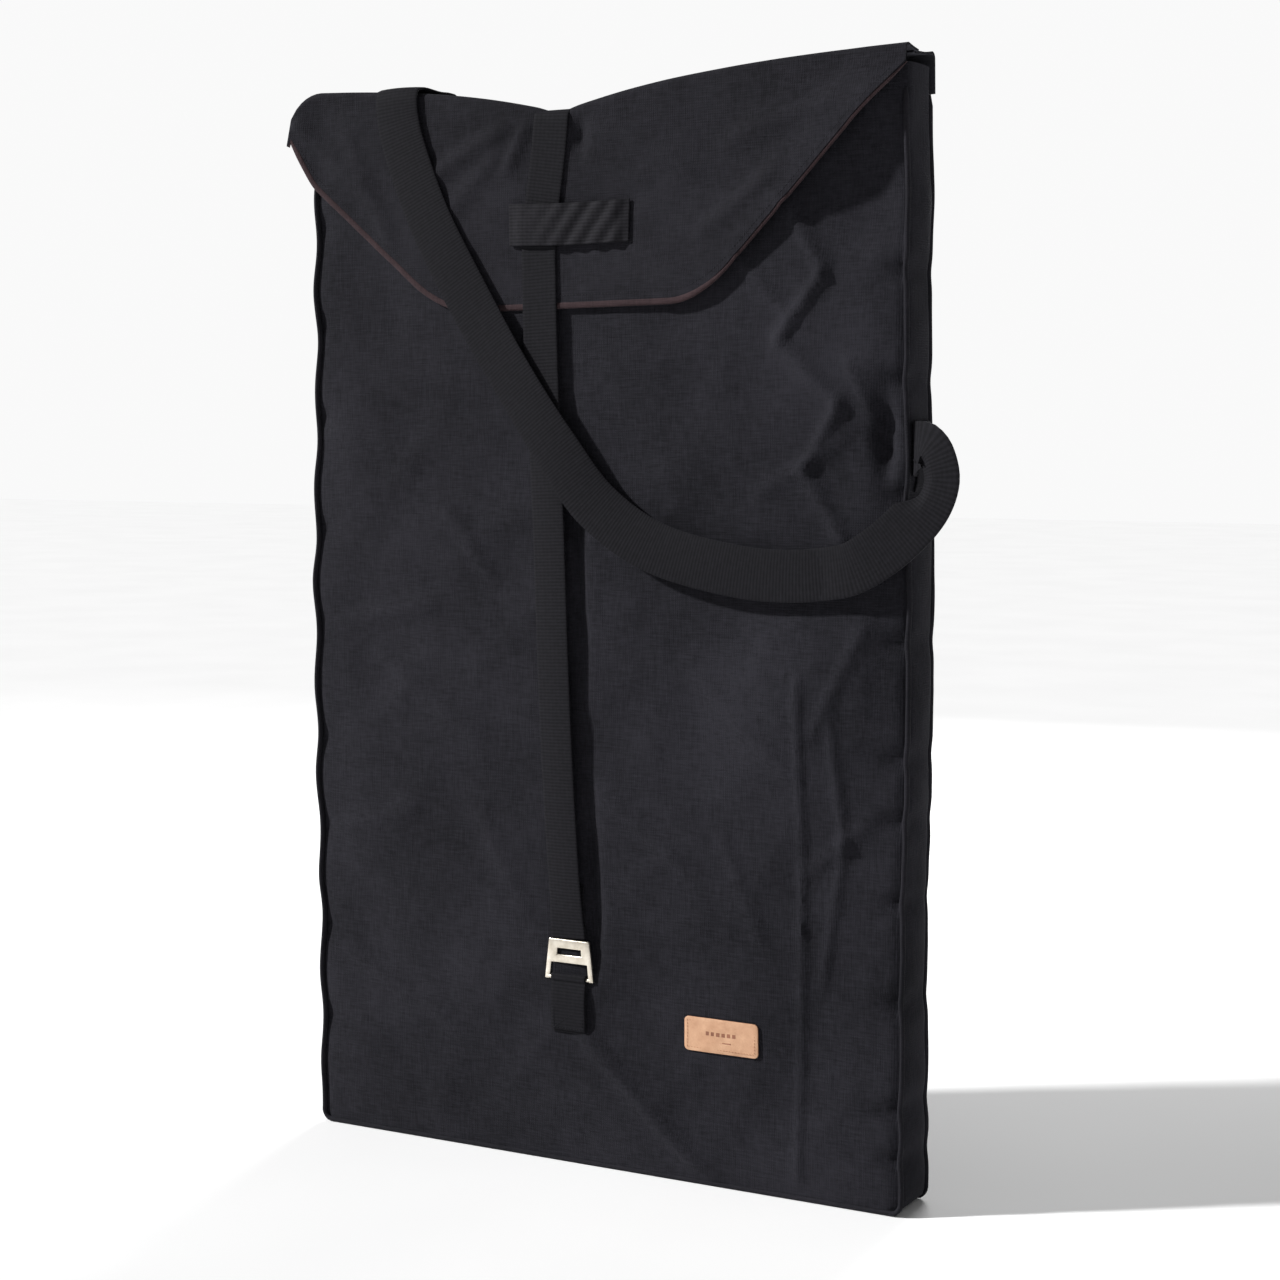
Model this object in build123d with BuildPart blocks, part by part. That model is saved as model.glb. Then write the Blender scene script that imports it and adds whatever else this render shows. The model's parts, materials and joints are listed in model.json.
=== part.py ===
from build123d import *
import math
import os

# A flat garment bag that stands on its base: X to the right, the front faces -Y, Z up.
# The origin is the middle of the base. All sizes are in millimetres.

os.makedirs("parts", exist_ok=True)

# ---------------------------------------------------------------- driving dimensions
bag_width = 630.0
bag_height = 1018.0  # top edge of the front and back panels
bag_depth = 60.0
cloth = 3.0  # canvas and its lining together
corner_radius = 12.0  # bottom corners of the panels

seam_width = 5.0  # folded tape over the seams
seam_proud = 2.0
board = 3.0  # base stiffener
board_clearance = 4.0
hem_width = 30.0  # turned hem along the mouth
hem_thickness = 1.5

flap_left_over = 38.0  # the flap reaches this far past the bag on the left
flap_right_over = 2.0
flap_drop = 204.0  # from the front fold down to the straight hem
flap_side = 48.0  # height of the flap's short upright sides
flap_slope_run = 190.0  # width of each slope between a side and the hem
flap_corner = 22.0
flap_clearance = 0.8
fold_gap = 2.5  # cloth edges stop this far from a fold line
binding_width = 5.0
binding_proud = 1.0

webbing = 2.2  # thickness of the closing strap
closing_width = 37.0
closing_top_x = -40.0
closing_hem_x = -52.0
closing_end_x = -23.0
closing_swing_drop = 216.5  # the loose end bends outwards this far below the flap's hem
closing_end_gap = 0.2  # the strap's lowest corner stops this far above the buckle
closing_back_length = 70.0
doubled_length = 46.0  # turned-back end of the closing strap
doubled_margin = 1.0  # the turned end is this much narrower on each side
strap_fold_gap = 6.0  # webbing stops this far from the back fold
front_strap_gap = 4.0  # and this far from the front fold

keeper_width = 129.0
keeper_height = 39.0
keeper_x = -20.0
keeper_drop = 129.5  # middle of the keeper below the fold
keeper_clearance = 4.3  # room for fingers between the keeper and the closing strap
keeper_seam = 12.0

buckle_x = -22.0
buckle_bar_z = 179.5
buckle_height = 39.0
buckle_taper = 4.5  # each leg leans in by this much
buckle_side_gap = 3.5  # between the anchor strap's edge and a leg's foot
buckle_thickness = 4.0
buckle_bar = 4.0  # diameter of the round bottom bar
buckle_leg = 4.5
buckle_top_bar = 9.0
buckle_slot_width = 26.0
buckle_slot_height = 6.0
buckle_middle_bar = 8.0
bar_end_inset = 1.0  # the round bar starts this far inside each leg's outer face
bar_clearance = 0.3
anchor_bottom_z = 127.0

label_width = 76.0
label_height = 32.0
label_thickness = 1.6
label_x = 138.0
label_z = 142.0

shoulder_width = 47.0
shoulder_thickness = 2.4
strap_clearance = 0.5
anchor_drop = 342.0  # middle of the shoulder strap's sewn ends below the mouth
strap_left_inset = 104.0  # the strap crosses the top this far in from the left side
front_run_inset = 14.0  # the front run stops this far in from the right side
back_run_inset = 6.0  # and the back run this far in from the left side
back_run_bow = 30.0  # how far the back run leans outwards half way down
loop_reach = 48.0  # how far the strap's side loop stands out from the gusset
loop_bow = 28.8  # where the loop's two halves turn
loop_rise = 50.0  # the side loop climbs this much from the front run to its sewn end
loop_start_inset = 12.0
loop_turn = 12.0  # the loop's outermost line lies this far behind the front face
sewn_start = 6.0  # the sewn end starts this far behind the front face
sewn_length = 8.0
ends_gap = 2.0  # between the loop's two pieces at its outermost line
patch_margin = 7.5  # a patch shows this much above and below the sewn strap
patch_depth = 34.0
patch_thickness = 1.2

hanger_loop_width = 25.0
hanger_loop_height = 70.0
hanger_loop_gap = 9.0
garment_strap_drop = 458.0  # middle of the garment strap below the mouth
garment_strap_width = 38.0
garment_strap_length = 440.0
garment_strap_gap = 7.0
inner_webbing = 1.6

# ---------------------------------------------------------------- planes worked out from them
half = bag_width / 2
front_y = -bag_depth / 2
back_y = bag_depth / 2
fold_z = bag_height + fold_gap
back_fold_y = back_y - cloth / 2
front_fold_y = front_y - seam_proud - flap_clearance - cloth / 2
flap_face_y = front_fold_y - cloth / 2
flap_top_z = fold_z + cloth / 2
flap_width = bag_width + flap_left_over + flap_right_over
flap_shift = (flap_right_over - flap_left_over) / 2
flap_hem_width = flap_width - 2 * flap_slope_run
flap_hem_z = fold_z - flap_drop
keeper_z = fold_z - keeper_drop
keeper_gap = webbing + keeper_clearance
closing_swing_z = flap_hem_z - closing_swing_drop
closing_face_y = flap_face_y - webbing
shoulder_inner_y = closing_face_y - strap_clearance
shoulder_face_y = shoulder_inner_y - shoulder_thickness
buckle_foot_width = closing_width + 2 * (buckle_side_gap + buckle_leg)
buckle_top_width = buckle_foot_width - 2 * buckle_taper
buckle_top_z = buckle_bar_z - buckle_bar / 2 + buckle_height
buckle_mid_y = flap_face_y - webbing / 2
anchor_z = bag_height - anchor_drop
patch_height = shoulder_width + 2 * patch_margin
garment_strap_z = bag_height - garment_strap_drop
arc_middle = 1 - math.sqrt(0.5)  # how far a quarter circle's middle lies from its corner, per radius


def facing_front(y):
    """Plane at depth y whose sketches are seen from the front and extrude towards the viewer."""
    return Plane.XZ.offset(-y)


def save(piece, name):
    """Label one finished piece and write it as its own node."""
    piece.part.label = name
    export_step(piece.part, f"parts/{name}.step")


# ---------------------------------------------------------------- shell of the bag
def make_panel(name, inner_y):
    """A canvas panel with rounded bottom corners and a straight top edge."""
    with BuildPart() as panel:
        with BuildSketch(facing_front(inner_y)):
            with BuildLine():
                Line((-half, bag_height), (-half, corner_radius))
                ThreePointArc(
                    (-half, corner_radius),
                    (-half + corner_radius * arc_middle, corner_radius * arc_middle),
                    (-half + corner_radius, 0),
                )
                Line((-half + corner_radius, 0), (half - corner_radius, 0))
                ThreePointArc(
                    (half - corner_radius, 0),
                    (half - corner_radius * arc_middle, corner_radius * arc_middle),
                    (half, corner_radius),
                )
                Line((half, corner_radius), (half, bag_height))
                Line((half, bag_height), (-half, bag_height))
            make_face()
        extrude(amount=cloth)
    save(panel, name)


def make_seam(name, inner_y):
    """Folded tape that follows a panel's two sides and its bottom."""
    with BuildPart() as seam:
        with BuildSketch(facing_front(inner_y)):
            with Locations((0, fold_z / 2)):
                Rectangle(bag_width, fold_z)
            with Locations((0, seam_width + bag_height / 2)):
                Rectangle(bag_width - 2 * seam_width, bag_height, mode=Mode.SUBTRACT)
            with Locations((0, bag_height)):
                Rectangle(bag_width, 2 * strap_fold_gap, mode=Mode.SUBTRACT)
        extrude(amount=seam_proud)
        bottom_edges = seam.edges().filter_by(Axis.Y).group_by(Axis.Z)[0]
        fillet(bottom_edges, radius=corner_radius)
    save(seam, name)


make_panel("front_panel", front_y + cloth)
make_panel("back_panel", back_y)
make_seam("front_seam_tape", front_y)
make_seam("back_seam_tape", back_y + seam_proud)

for side, name in ((-1, "left_gusset"), (1, "right_gusset")):
    with BuildPart() as gusset:
        with BuildSketch(Plane.XY.offset(corner_radius)):
            with Locations((side * (half - cloth / 2), 0)):
                Rectangle(cloth, bag_depth - 2 * cloth)
        extrude(amount=bag_height - corner_radius)
    save(gusset, name)

with BuildPart() as base_gusset:
    with BuildSketch(facing_front(back_y - cloth)):
        with Locations((0, 2 * corner_radius)):
            RectangleRounded(bag_width, 4 * corner_radius, corner_radius)
            RectangleRounded(
                bag_width - 2 * cloth,
                4 * corner_radius - 2 * cloth,
                corner_radius - cloth,
                mode=Mode.SUBTRACT,
            )
        with Locations((0, 3 * corner_radius)):
            Rectangle(bag_width, 4 * corner_radius, mode=Mode.SUBTRACT)
    extrude(amount=bag_depth - 2 * cloth)
save(base_gusset, "base_gusset")

with BuildPart() as base_board:
    with BuildSketch(Plane.XY.offset(cloth)):
        Rectangle(
            bag_width - 2 * (corner_radius + board_clearance),
            bag_depth - 2 * (cloth + board_clearance),
        )
    extrude(amount=board)
    fillet(base_board.edges().filter_by(Axis.Z), radius=board_clearance)
save(base_board, "base_board")

with BuildPart() as mouth_hem:
    with BuildSketch(facing_front(front_y + cloth + hem_thickness)):
        with Locations((0, bag_height - hem_width / 2)):
            Rectangle(bag_width - 2 * cloth, hem_width)
    extrude(amount=hem_thickness)
save(mouth_hem, "mouth_hem")

# ---------------------------------------------------------------- what holds the clothes inside
with BuildPart() as hanger_loop:
    loop_middle_z = bag_height - hanger_loop_height / 2 - hem_width / 2
    loop_back_y = back_y - cloth
    loop_outer = hanger_loop_gap + inner_webbing
    with BuildSketch(Plane.YZ.offset(-hanger_loop_width / 2)):
        with BuildLine():
            Polyline(
                (loop_back_y, loop_middle_z + hanger_loop_height / 2),
                (loop_back_y - inner_webbing, loop_middle_z + hanger_loop_height / 2),
                (loop_back_y - loop_outer, loop_middle_z + hanger_loop_height / 4),
                (loop_back_y - loop_outer, loop_middle_z - hanger_loop_height / 4),
                (loop_back_y - inner_webbing, loop_middle_z - hanger_loop_height / 2),
                (loop_back_y, loop_middle_z - hanger_loop_height / 2),
                (loop_back_y, loop_middle_z - hanger_loop_height / 2 + inner_webbing),
                (loop_back_y - hanger_loop_gap, loop_middle_z - hanger_loop_height / 4),
                (loop_back_y - hanger_loop_gap, loop_middle_z + hanger_loop_height / 4),
                (loop_back_y, loop_middle_z + hanger_loop_height / 2 - inner_webbing),
                close=True,
            )
        make_face()
    extrude(amount=hanger_loop_width)
save(hanger_loop, "hanger_loop")


def strap_arch(length, gap, thickness, seam):
    """Outline of a strap sewn flat at both ends and standing off between them, foot line on y = 0."""
    with BuildLine() as outline:
        Polyline(
            (-length / 2, 0),
            (-length / 2, -thickness),
            (-length / 2 + seam, -gap - thickness),
            (length / 2 - seam, -gap - thickness),
            (length / 2, -thickness),
            (length / 2, 0),
            (length / 2 - seam / 2, 0),
            (length / 2 - seam - thickness, -gap),
            (-length / 2 + seam + thickness, -gap),
            (-length / 2 + seam / 2, 0),
            close=True,
        )
    with BuildSketch() as arch:
        make_face(outline.edges())
    return arch.sketch


garment_arch = strap_arch(garment_strap_length, garment_strap_gap, inner_webbing, keeper_seam)
with BuildPart() as garment_strap:
    with BuildSketch(Plane.XY.offset(garment_strap_z - garment_strap_width / 2)):
        with Locations((0, back_y - cloth)):
            add(garment_arch)
    extrude(amount=garment_strap_width)
save(garment_strap, "garment_strap")

# ---------------------------------------------------------------- flap
with BuildPart() as flap_top:
    with BuildSketch(Plane.XY.offset(fold_z - cloth / 2)):
        lid_front = front_fold_y + fold_gap
        lid_back = back_fold_y - fold_gap
        with Locations((flap_shift, (lid_front + lid_back) / 2)):
            Rectangle(flap_width, lid_back - lid_front)
    extrude(amount=cloth)
save(flap_top, "flap_top")


def flap_outline(inset):
    """The flap's front: short upright sides, long slopes and a straight hem, drawn in by inset."""
    slope = math.atan2(flap_drop - flap_side, flap_slope_run)
    hem_half = flap_hem_width / 2 - inset * math.tan(slope / 2)
    side_half = flap_width / 2 - inset
    side_z = fold_z - flap_side + inset * math.tan(math.pi / 4 - slope / 2)
    with BuildSketch() as outline:
        with BuildLine():
            Polyline(
                (flap_shift - side_half, fold_z - fold_gap),
                (flap_shift - side_half, side_z),
                (flap_shift - hem_half, flap_hem_z + inset),
                (flap_shift + hem_half, flap_hem_z + inset),
                (flap_shift + side_half, side_z),
                (flap_shift + side_half, fold_z - fold_gap),
                close=True,
            )
        make_face()
        low_corners = outline.vertices().sort_by(Axis.Y)[:4]
        fillet(low_corners, radius=flap_corner)
    return outline.sketch


flap_shape = flap_outline(0)
flap_field = flap_outline(binding_width)
with BuildPart() as flap_front:
    with BuildSketch(facing_front(front_fold_y + cloth / 2)):
        add(flap_shape)
    extrude(amount=cloth)
save(flap_front, "flap_front")

with BuildPart() as flap_binding:
    with BuildSketch(facing_front(flap_face_y)):
        add(flap_shape)
        add(flap_field, mode=Mode.SUBTRACT)
        with Locations((flap_shift, fold_z)):
            Rectangle(flap_width, 2 * strap_fold_gap, mode=Mode.SUBTRACT)
        with Locations((closing_hem_x, flap_hem_z)):
            Rectangle(closing_width + 2 * binding_width, 3 * binding_width, mode=Mode.SUBTRACT)
    extrude(amount=binding_proud)
save(flap_binding, "flap_binding")

keeper_arch = strap_arch(keeper_width, keeper_gap, webbing, keeper_seam)
with BuildPart() as keeper_handle:
    with BuildSketch(Plane.XY.offset(keeper_z - keeper_height / 2)):
        with Locations((keeper_x, flap_face_y)):
            add(keeper_arch)
    extrude(amount=keeper_height)
save(keeper_handle, "keeper_handle")

# ---------------------------------------------------------------- closing strap
with BuildPart() as closing_strap_back:
    with BuildSketch(facing_front(back_y + webbing)):
        with Locations((closing_top_x, fold_z - strap_fold_gap - closing_back_length / 2)):
            Rectangle(closing_width, closing_back_length)
    extrude(amount=webbing)
save(closing_strap_back, "closing_strap_back")

with BuildPart() as closing_strap_top:
    with BuildSketch(Plane.XY.offset(flap_top_z)):
        run_front = front_fold_y + front_strap_gap
        run_back = back_fold_y - strap_fold_gap
        with Locations((closing_top_x, (run_front + run_back) / 2)):
            Rectangle(closing_width, run_back - run_front)
    extrude(amount=webbing)
save(closing_strap_top, "closing_strap_top")


def closing_x(z):
    """The loose strap slants from the flap's hem to the buckle."""
    return closing_hem_x + (closing_end_x - closing_hem_x) * (flap_hem_z - z) / (flap_hem_z - buckle_top_z)


with BuildPart() as closing_strap_front:
    with BuildSketch(facing_front(flap_face_y)):
        with BuildLine():
            Polyline(
                (closing_top_x, fold_z - front_strap_gap),
                (closing_hem_x, flap_hem_z),
                (closing_x(closing_swing_z), closing_swing_z + fold_gap),
            )
        trace(line_width=closing_width)
    extrude(amount=webbing)
save(closing_strap_front, "closing_strap_front")

closing_lean = (closing_end_x - closing_hem_x) / (flap_hem_z - buckle_top_z)
closing_end_z = buckle_top_z + closing_end_gap + closing_lean * closing_width / 2
with BuildPart() as closing_strap_tail:
    with BuildSketch(facing_front(flap_face_y)):
        with BuildLine():
            Line((closing_x(closing_swing_z), closing_swing_z - fold_gap), (closing_end_x, closing_end_z))
        trace(line_width=closing_width)
    extrude(amount=webbing)
save(closing_strap_tail, "closing_strap_tail")

with BuildPart() as closing_strap_doubled_end:
    with BuildSketch(facing_front(flap_face_y + webbing)):
        with BuildLine():
            Line(
                (closing_x(closing_end_z + doubled_length), closing_end_z + doubled_length),
                (closing_end_x, closing_end_z),
            )
        trace(line_width=closing_width - 2 * doubled_margin)
    extrude(amount=webbing)
save(closing_strap_doubled_end, "closing_strap_doubled_end")

# ---------------------------------------------------------------- buckle and the strap that holds it
with BuildPart() as buckle_frame:
    with BuildSketch(facing_front(buckle_mid_y + buckle_thickness / 2)):
        with BuildLine():
            Polyline(
                (buckle_x - buckle_foot_width / 2, buckle_bar_z - buckle_bar / 2),
                (buckle_x + buckle_foot_width / 2, buckle_bar_z - buckle_bar / 2),
                (buckle_x + buckle_top_width / 2, buckle_top_z),
                (buckle_x - buckle_top_width / 2, buckle_top_z),
                close=True,
            )
        make_face()
        slot_z = buckle_top_z - buckle_top_bar - buckle_slot_height / 2
        window_top = slot_z - buckle_slot_height / 2 - buckle_middle_bar
        window_foot = buckle_bar_z - buckle_bar / 2
        with Locations((buckle_x, slot_z)):
            Rectangle(buckle_slot_width, buckle_slot_height, mode=Mode.SUBTRACT)
        with Locations((buckle_x, (window_top + window_foot) / 2)):
            Rectangle(
                buckle_top_width - buckle_leg / 2,
                window_top - window_foot,
                mode=Mode.SUBTRACT,
            )
    extrude(amount=buckle_thickness)
    upright_edges = buckle_frame.edges().filter_by(Axis.Y).group_by(Axis.Z)
    fillet(upright_edges[-1], radius=buckle_leg)
    with BuildSketch(Plane.YZ.offset(buckle_x - buckle_foot_width / 2 + bar_end_inset)):
        with Locations((buckle_mid_y, buckle_bar_z)):
            Circle(buckle_bar / 2)
    extrude(amount=buckle_foot_width - 2 * bar_end_inset)
save(buckle_frame, "buckle_frame")

with BuildPart() as buckle_anchor_strap:
    eye_inner = buckle_bar / 2 + bar_clearance
    eye_outer = eye_inner + webbing
    pad_face_y = front_y - 2 * webbing
    with BuildSketch(Plane.YZ.offset(buckle_x - closing_width / 2)):
        with Locations((buckle_mid_y, buckle_bar_z)):
            Circle(eye_outer)
        with BuildLine():
            Polyline(
                (buckle_mid_y - eye_outer, buckle_bar_z),
                (pad_face_y, buckle_bar_z - 2 * eye_outer),
                (pad_face_y, anchor_bottom_z),
                (front_y, anchor_bottom_z),
                (front_y, buckle_bar_z - eye_outer),
                (buckle_mid_y, buckle_bar_z),
                close=True,
            )
        make_face()
        with Locations((buckle_mid_y, buckle_bar_z)):
            Circle(eye_inner, mode=Mode.SUBTRACT)
    extrude(amount=closing_width)
save(buckle_anchor_strap, "buckle_anchor_strap")

with BuildPart() as leather_label:
    with BuildSketch(facing_front(front_y)):
        with Locations((label_x, label_z)):
            RectangleRounded(label_width, label_height, label_height / 7)
    extrude(amount=label_thickness)
save(leather_label, "leather_label")

# ---------------------------------------------------------------- shoulder strap
strap_top_x = strap_left_inset - half
strap_top_z = fold_z - fold_gap
strap_back_y = back_y + seam_proud + webbing + strap_clearance
strap_end_x = half - front_run_inset
strap_end_z = anchor_z - loop_rise - shoulder_width


def on_front_run(across, down):
    """A place on the front run, as shares of the way to its right end and of the way down to it."""
    return (
        strap_top_x + across * (strap_end_x - strap_top_x),
        strap_top_z + down * (strap_end_z - strap_top_z),
    )


with BuildPart() as shoulder_strap_front:
    with BuildSketch(facing_front(shoulder_inner_y)):
        with BuildLine():
            Spline(
                on_front_run(0, 0),
                on_front_run(0.08, 0.28),
                on_front_run(0.27, 0.63),
                on_front_run(0.44, 0.89),
                on_front_run(0.55, 0.975),
                on_front_run(0.71, 1.015),
                on_front_run(1, 1),
                tangents=((0, -1), (1, 0.12)),
            )
        trace(line_width=shoulder_width)
    extrude(amount=shoulder_thickness)
save(shoulder_strap_front, "shoulder_strap_front")

with BuildPart() as shoulder_strap_over_top:
    bridge_z = flap_top_z + strap_clearance
    with BuildSketch(Plane.YZ.offset(strap_top_x - shoulder_width / 2)):
        with BuildLine():
            Polyline(
                (shoulder_inner_y, strap_top_z + strap_clearance),
                (shoulder_inner_y, bridge_z),
                (strap_back_y, bridge_z),
                (strap_back_y, strap_top_z + strap_clearance),
                (strap_back_y + shoulder_thickness, strap_top_z + strap_clearance),
                (strap_back_y + shoulder_thickness, bridge_z + shoulder_thickness),
                (shoulder_face_y, bridge_z + shoulder_thickness),
                (shoulder_face_y, strap_top_z + strap_clearance),
                close=True,
            )
        make_face()
    extrude(amount=shoulder_width)
save(shoulder_strap_over_top, "shoulder_strap_over_top")

with BuildPart() as shoulder_strap_back:
    with BuildSketch(facing_front(strap_back_y + shoulder_thickness)):
        with BuildLine():
            Spline(
                (strap_top_x, strap_top_z),
                (strap_top_x - back_run_bow, (strap_top_z + anchor_z) / 2),
                (back_run_inset - half, anchor_z),
                tangents=((0, -1), (-0.6, -0.8)),
            )
        trace(line_width=shoulder_width)
    extrude(amount=shoulder_thickness)
save(shoulder_strap_back, "shoulder_strap_back")

loop_low_z = anchor_z - loop_rise - shoulder_width / 2
with BuildPart() as shoulder_strap_side_loop:
    with BuildSketch(Plane.XY.offset(loop_low_z)):
        with BuildLine():
            Spline(
                (half - loop_start_inset, shoulder_face_y + shoulder_thickness / 2),
                (half + loop_bow, shoulder_face_y + shoulder_thickness),
                (half + loop_reach, front_y + loop_turn),
                tangents=((1, -0.1), (0.2, 1)),
            )
        trace(line_width=shoulder_thickness)
    extrude(amount=shoulder_width + loop_rise / 2)
save(shoulder_strap_side_loop, "shoulder_strap_side_loop")

with BuildPart() as shoulder_strap_sewn_end:
    with BuildSketch(Plane.XY.offset(anchor_z - shoulder_width / 2)):
        sewn_x = half + patch_thickness + shoulder_thickness / 2 + bar_clearance
        with BuildLine():
            Spline(
                (sewn_x, front_y + sewn_start),
                (sewn_x, front_y + sewn_start + sewn_length),
                (half + loop_bow, back_y - loop_turn),
                (half + loop_reach, front_y + loop_turn + ends_gap),
                tangents=((0, 1), (-0.2, -1)),
            )
        trace(line_width=shoulder_thickness)
    extrude(amount=shoulder_width)
save(shoulder_strap_sewn_end, "shoulder_strap_sewn_end")

for side, name in ((-1, "left_strap_patch"), (1, "right_strap_patch")):
    with BuildPart() as patch:
        with BuildSketch(Plane.XY.offset(anchor_z - patch_height / 2)):
            with Locations((side * (half + patch_thickness / 2), 0)):
                Rectangle(patch_thickness, patch_depth)
        extrude(amount=patch_height)
    save(patch, name)
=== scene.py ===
import json
import math

import bpy
from mathutils import Matrix, Vector, noise


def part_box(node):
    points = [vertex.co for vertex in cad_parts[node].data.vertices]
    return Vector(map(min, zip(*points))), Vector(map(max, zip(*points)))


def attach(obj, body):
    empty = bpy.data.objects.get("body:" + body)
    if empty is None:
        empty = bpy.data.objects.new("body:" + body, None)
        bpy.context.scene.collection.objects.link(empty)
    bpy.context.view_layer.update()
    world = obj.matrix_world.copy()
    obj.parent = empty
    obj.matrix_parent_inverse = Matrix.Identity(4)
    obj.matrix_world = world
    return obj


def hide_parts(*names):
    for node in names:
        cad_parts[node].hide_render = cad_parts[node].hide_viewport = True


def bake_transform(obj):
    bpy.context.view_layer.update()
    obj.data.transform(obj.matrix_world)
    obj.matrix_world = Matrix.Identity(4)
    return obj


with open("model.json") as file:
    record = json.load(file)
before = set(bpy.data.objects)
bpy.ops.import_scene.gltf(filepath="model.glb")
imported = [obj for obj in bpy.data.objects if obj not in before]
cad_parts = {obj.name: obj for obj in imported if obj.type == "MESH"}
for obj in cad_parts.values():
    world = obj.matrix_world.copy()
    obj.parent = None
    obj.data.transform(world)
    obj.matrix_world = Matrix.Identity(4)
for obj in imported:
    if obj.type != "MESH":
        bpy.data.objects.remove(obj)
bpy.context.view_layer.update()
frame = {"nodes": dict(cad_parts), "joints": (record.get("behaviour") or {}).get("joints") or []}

# A soft upright garment bag: metres, X to the right, the front faces -Y, Z up, the base on Z = 0.

# ------------------------------------------------------------------ places taken from the frame
panel_low, panel_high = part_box("front_panel")
lid_low, lid_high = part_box("flap_top")
label_low, label_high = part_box("leather_label")
buckle_low, buckle_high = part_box("buckle_frame")
keeper_low, keeper_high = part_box("keeper_handle")
over_low, over_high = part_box("shoulder_strap_over_top")
patch_low, patch_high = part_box("right_strap_patch")
anchor_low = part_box("buckle_anchor_strap")[0]
tail_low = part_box("closing_strap_tail")[0]
joints = {joint["name"]: joint for joint in frame["joints"]}
back_fold = joints["flap_open"]["pos_m"]
front_fold = joints["flap_front_fold"]["pos_m"]
strap_hinge = joints["closing_strap_swing"]["pos_m"]
bar_y, bar_z = joints["buckle_tilt"]["pos_m"][1:]

half = panel_high.x
front = panel_low.y
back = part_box("back_panel")[1].y
height = panel_high.z
label_x = (label_low.x + label_high.x) / 2
label_z = (label_low.z + label_high.z) / 2
buckle_x = (buckle_low.x + buckle_high.x) / 2
over_x = (over_low.x + over_high.x) / 2
anchor_z = (patch_low.z + patch_high.z) / 2

MM = 0.001
corner = 12 * MM  # radius of the body's bottom corners
cloth = 2.6 * MM
flap_cloth = cloth * 0.8
flap_gap = 5.2 * MM  # from the front's flat plane out to the flap
deepest_hollow = 16 * MM
flap_left = lid_low.x + 11 * MM
flap_right = lid_high.x
round_fold = 5.5 * MM  # how round the flap turns over the two top edges
lid_seam = 0.56  # share of the way across the lid where the flap's two cloths are joined
strap_width = 37 * MM
strap_thick = 2.0 * MM
shoulder_width = 47 * MM
shoulder_thick = 2.2 * MM
label_thick = 1.6 * MM
label_gap = 1.8 * MM  # from the canvas out to the middle of the leather
dip_x = -35 * MM  # where the closing strap presses the top down
dip_height = 996 * MM
ear_rise = 39 * MM  # how far the top would rise from there, well away from the strap
stitch_pitch = 3 * MM


# ------------------------------------------------------------------ small helpers
def deselect():
    for item in bpy.context.selected_objects:
        item.select_set(False)


def only(piece):
    """Select one piece and make it the active one."""
    deselect()
    piece.select_set(True)
    bpy.context.view_layer.objects.active = piece


def start_edit(action="SELECT"):
    """Go into edit mode on the active piece, with all of it selected or none."""
    bpy.ops.object.mode_set(mode="EDIT")
    bpy.ops.mesh.select_all(action=action)


def end_edit():
    bpy.ops.object.mode_set(mode="OBJECT")


def named(name):
    """The active piece, given this name."""
    piece = bpy.context.object
    piece.name = name
    piece.data.name = name
    return piece


def apply_all(piece):
    only(piece)
    for modifier in list(piece.modifiers):
        bpy.ops.object.modifier_apply(modifier=modifier.name)


def step(low, high, value):
    """Smooth ramp from 0 at low to 1 at high."""
    t = min(1.0, max(0.0, (value - low) / (high - low)))
    return t * t * (3 - 2 * t)


def soft_max(a, b, radius):
    """The larger of a and b, rounded where they meet."""
    gap = max(0.0, radius - abs(a - b)) / radius
    return max(a, b) + gap * gap * radius * 0.25


def bump(x, z, at_x, at_z, wide, tall):
    return math.exp(-(((x - at_x) / wide) ** 2) - ((z - at_z) / tall) ** 2)


def ripple(x, z, scale_x, scale_z, seed):
    """Smooth random swell between about -1 and 1."""
    return noise.noise(Vector((x * scale_x + seed, z * scale_z - seed, seed * 1.7)))


def crease(x, z, start, end, rise, width):
    """A fold along a line: a raised side and a hollow side, dying out at its ends."""
    ax, az = start
    dx, dz = end[0] - ax, end[1] - az
    length = math.hypot(dx, dz)
    along = ((x - ax) * dx + (z - az) * dz) / length
    across = ((x - ax) * dz - (z - az) * dx) / length
    if abs(across) > 4 * width or along < -3 * width or along > length + 3 * width:
        return 0.0
    ends = step(-2.5 * width, width, along) * (1 - step(length - width, length + 2.5 * width, along))
    share = across / width
    return rise * ends * math.exp(-share * share) * (0.95 + 0.45 * share)


def grid(name, columns, rows, place, size=(1.0, 1.0)):
    """A grid laid out by place(u, v), u across and v along from 0 to 1, with its UV map in metres."""
    deselect()
    bpy.ops.mesh.primitive_grid_add(x_subdivisions=columns, y_subdivisions=rows, size=2, calc_uvs=True)
    piece = named(name)
    for point in piece.data.vertices:
        point.co = place((point.co.x + 1) / 2, (point.co.y + 1) / 2)
    for corner_uv in piece.data.uv_layers.active.data:
        corner_uv.uv = (corner_uv.uv[0] * size[0], corner_uv.uv[1] * size[1])
    piece.data.update()
    return piece


def recalculate(piece, merge=0.0):
    """Point the faces outwards, after merging points that lie together."""
    only(piece)
    start_edit()
    if merge:
        bpy.ops.mesh.remove_doubles(threshold=merge)
    bpy.ops.mesh.normals_make_consistent(inside=False)
    end_edit()


def close_ends(piece):
    """Fill the open ends of a tube, after joining it along its length."""
    recalculate(piece, 0.05 * MM)
    only(piece)
    start_edit("DESELECT")
    bpy.ops.mesh.select_non_manifold()
    bpy.ops.mesh.edge_face_add()
    end_edit()
    recalculate(piece)


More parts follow.
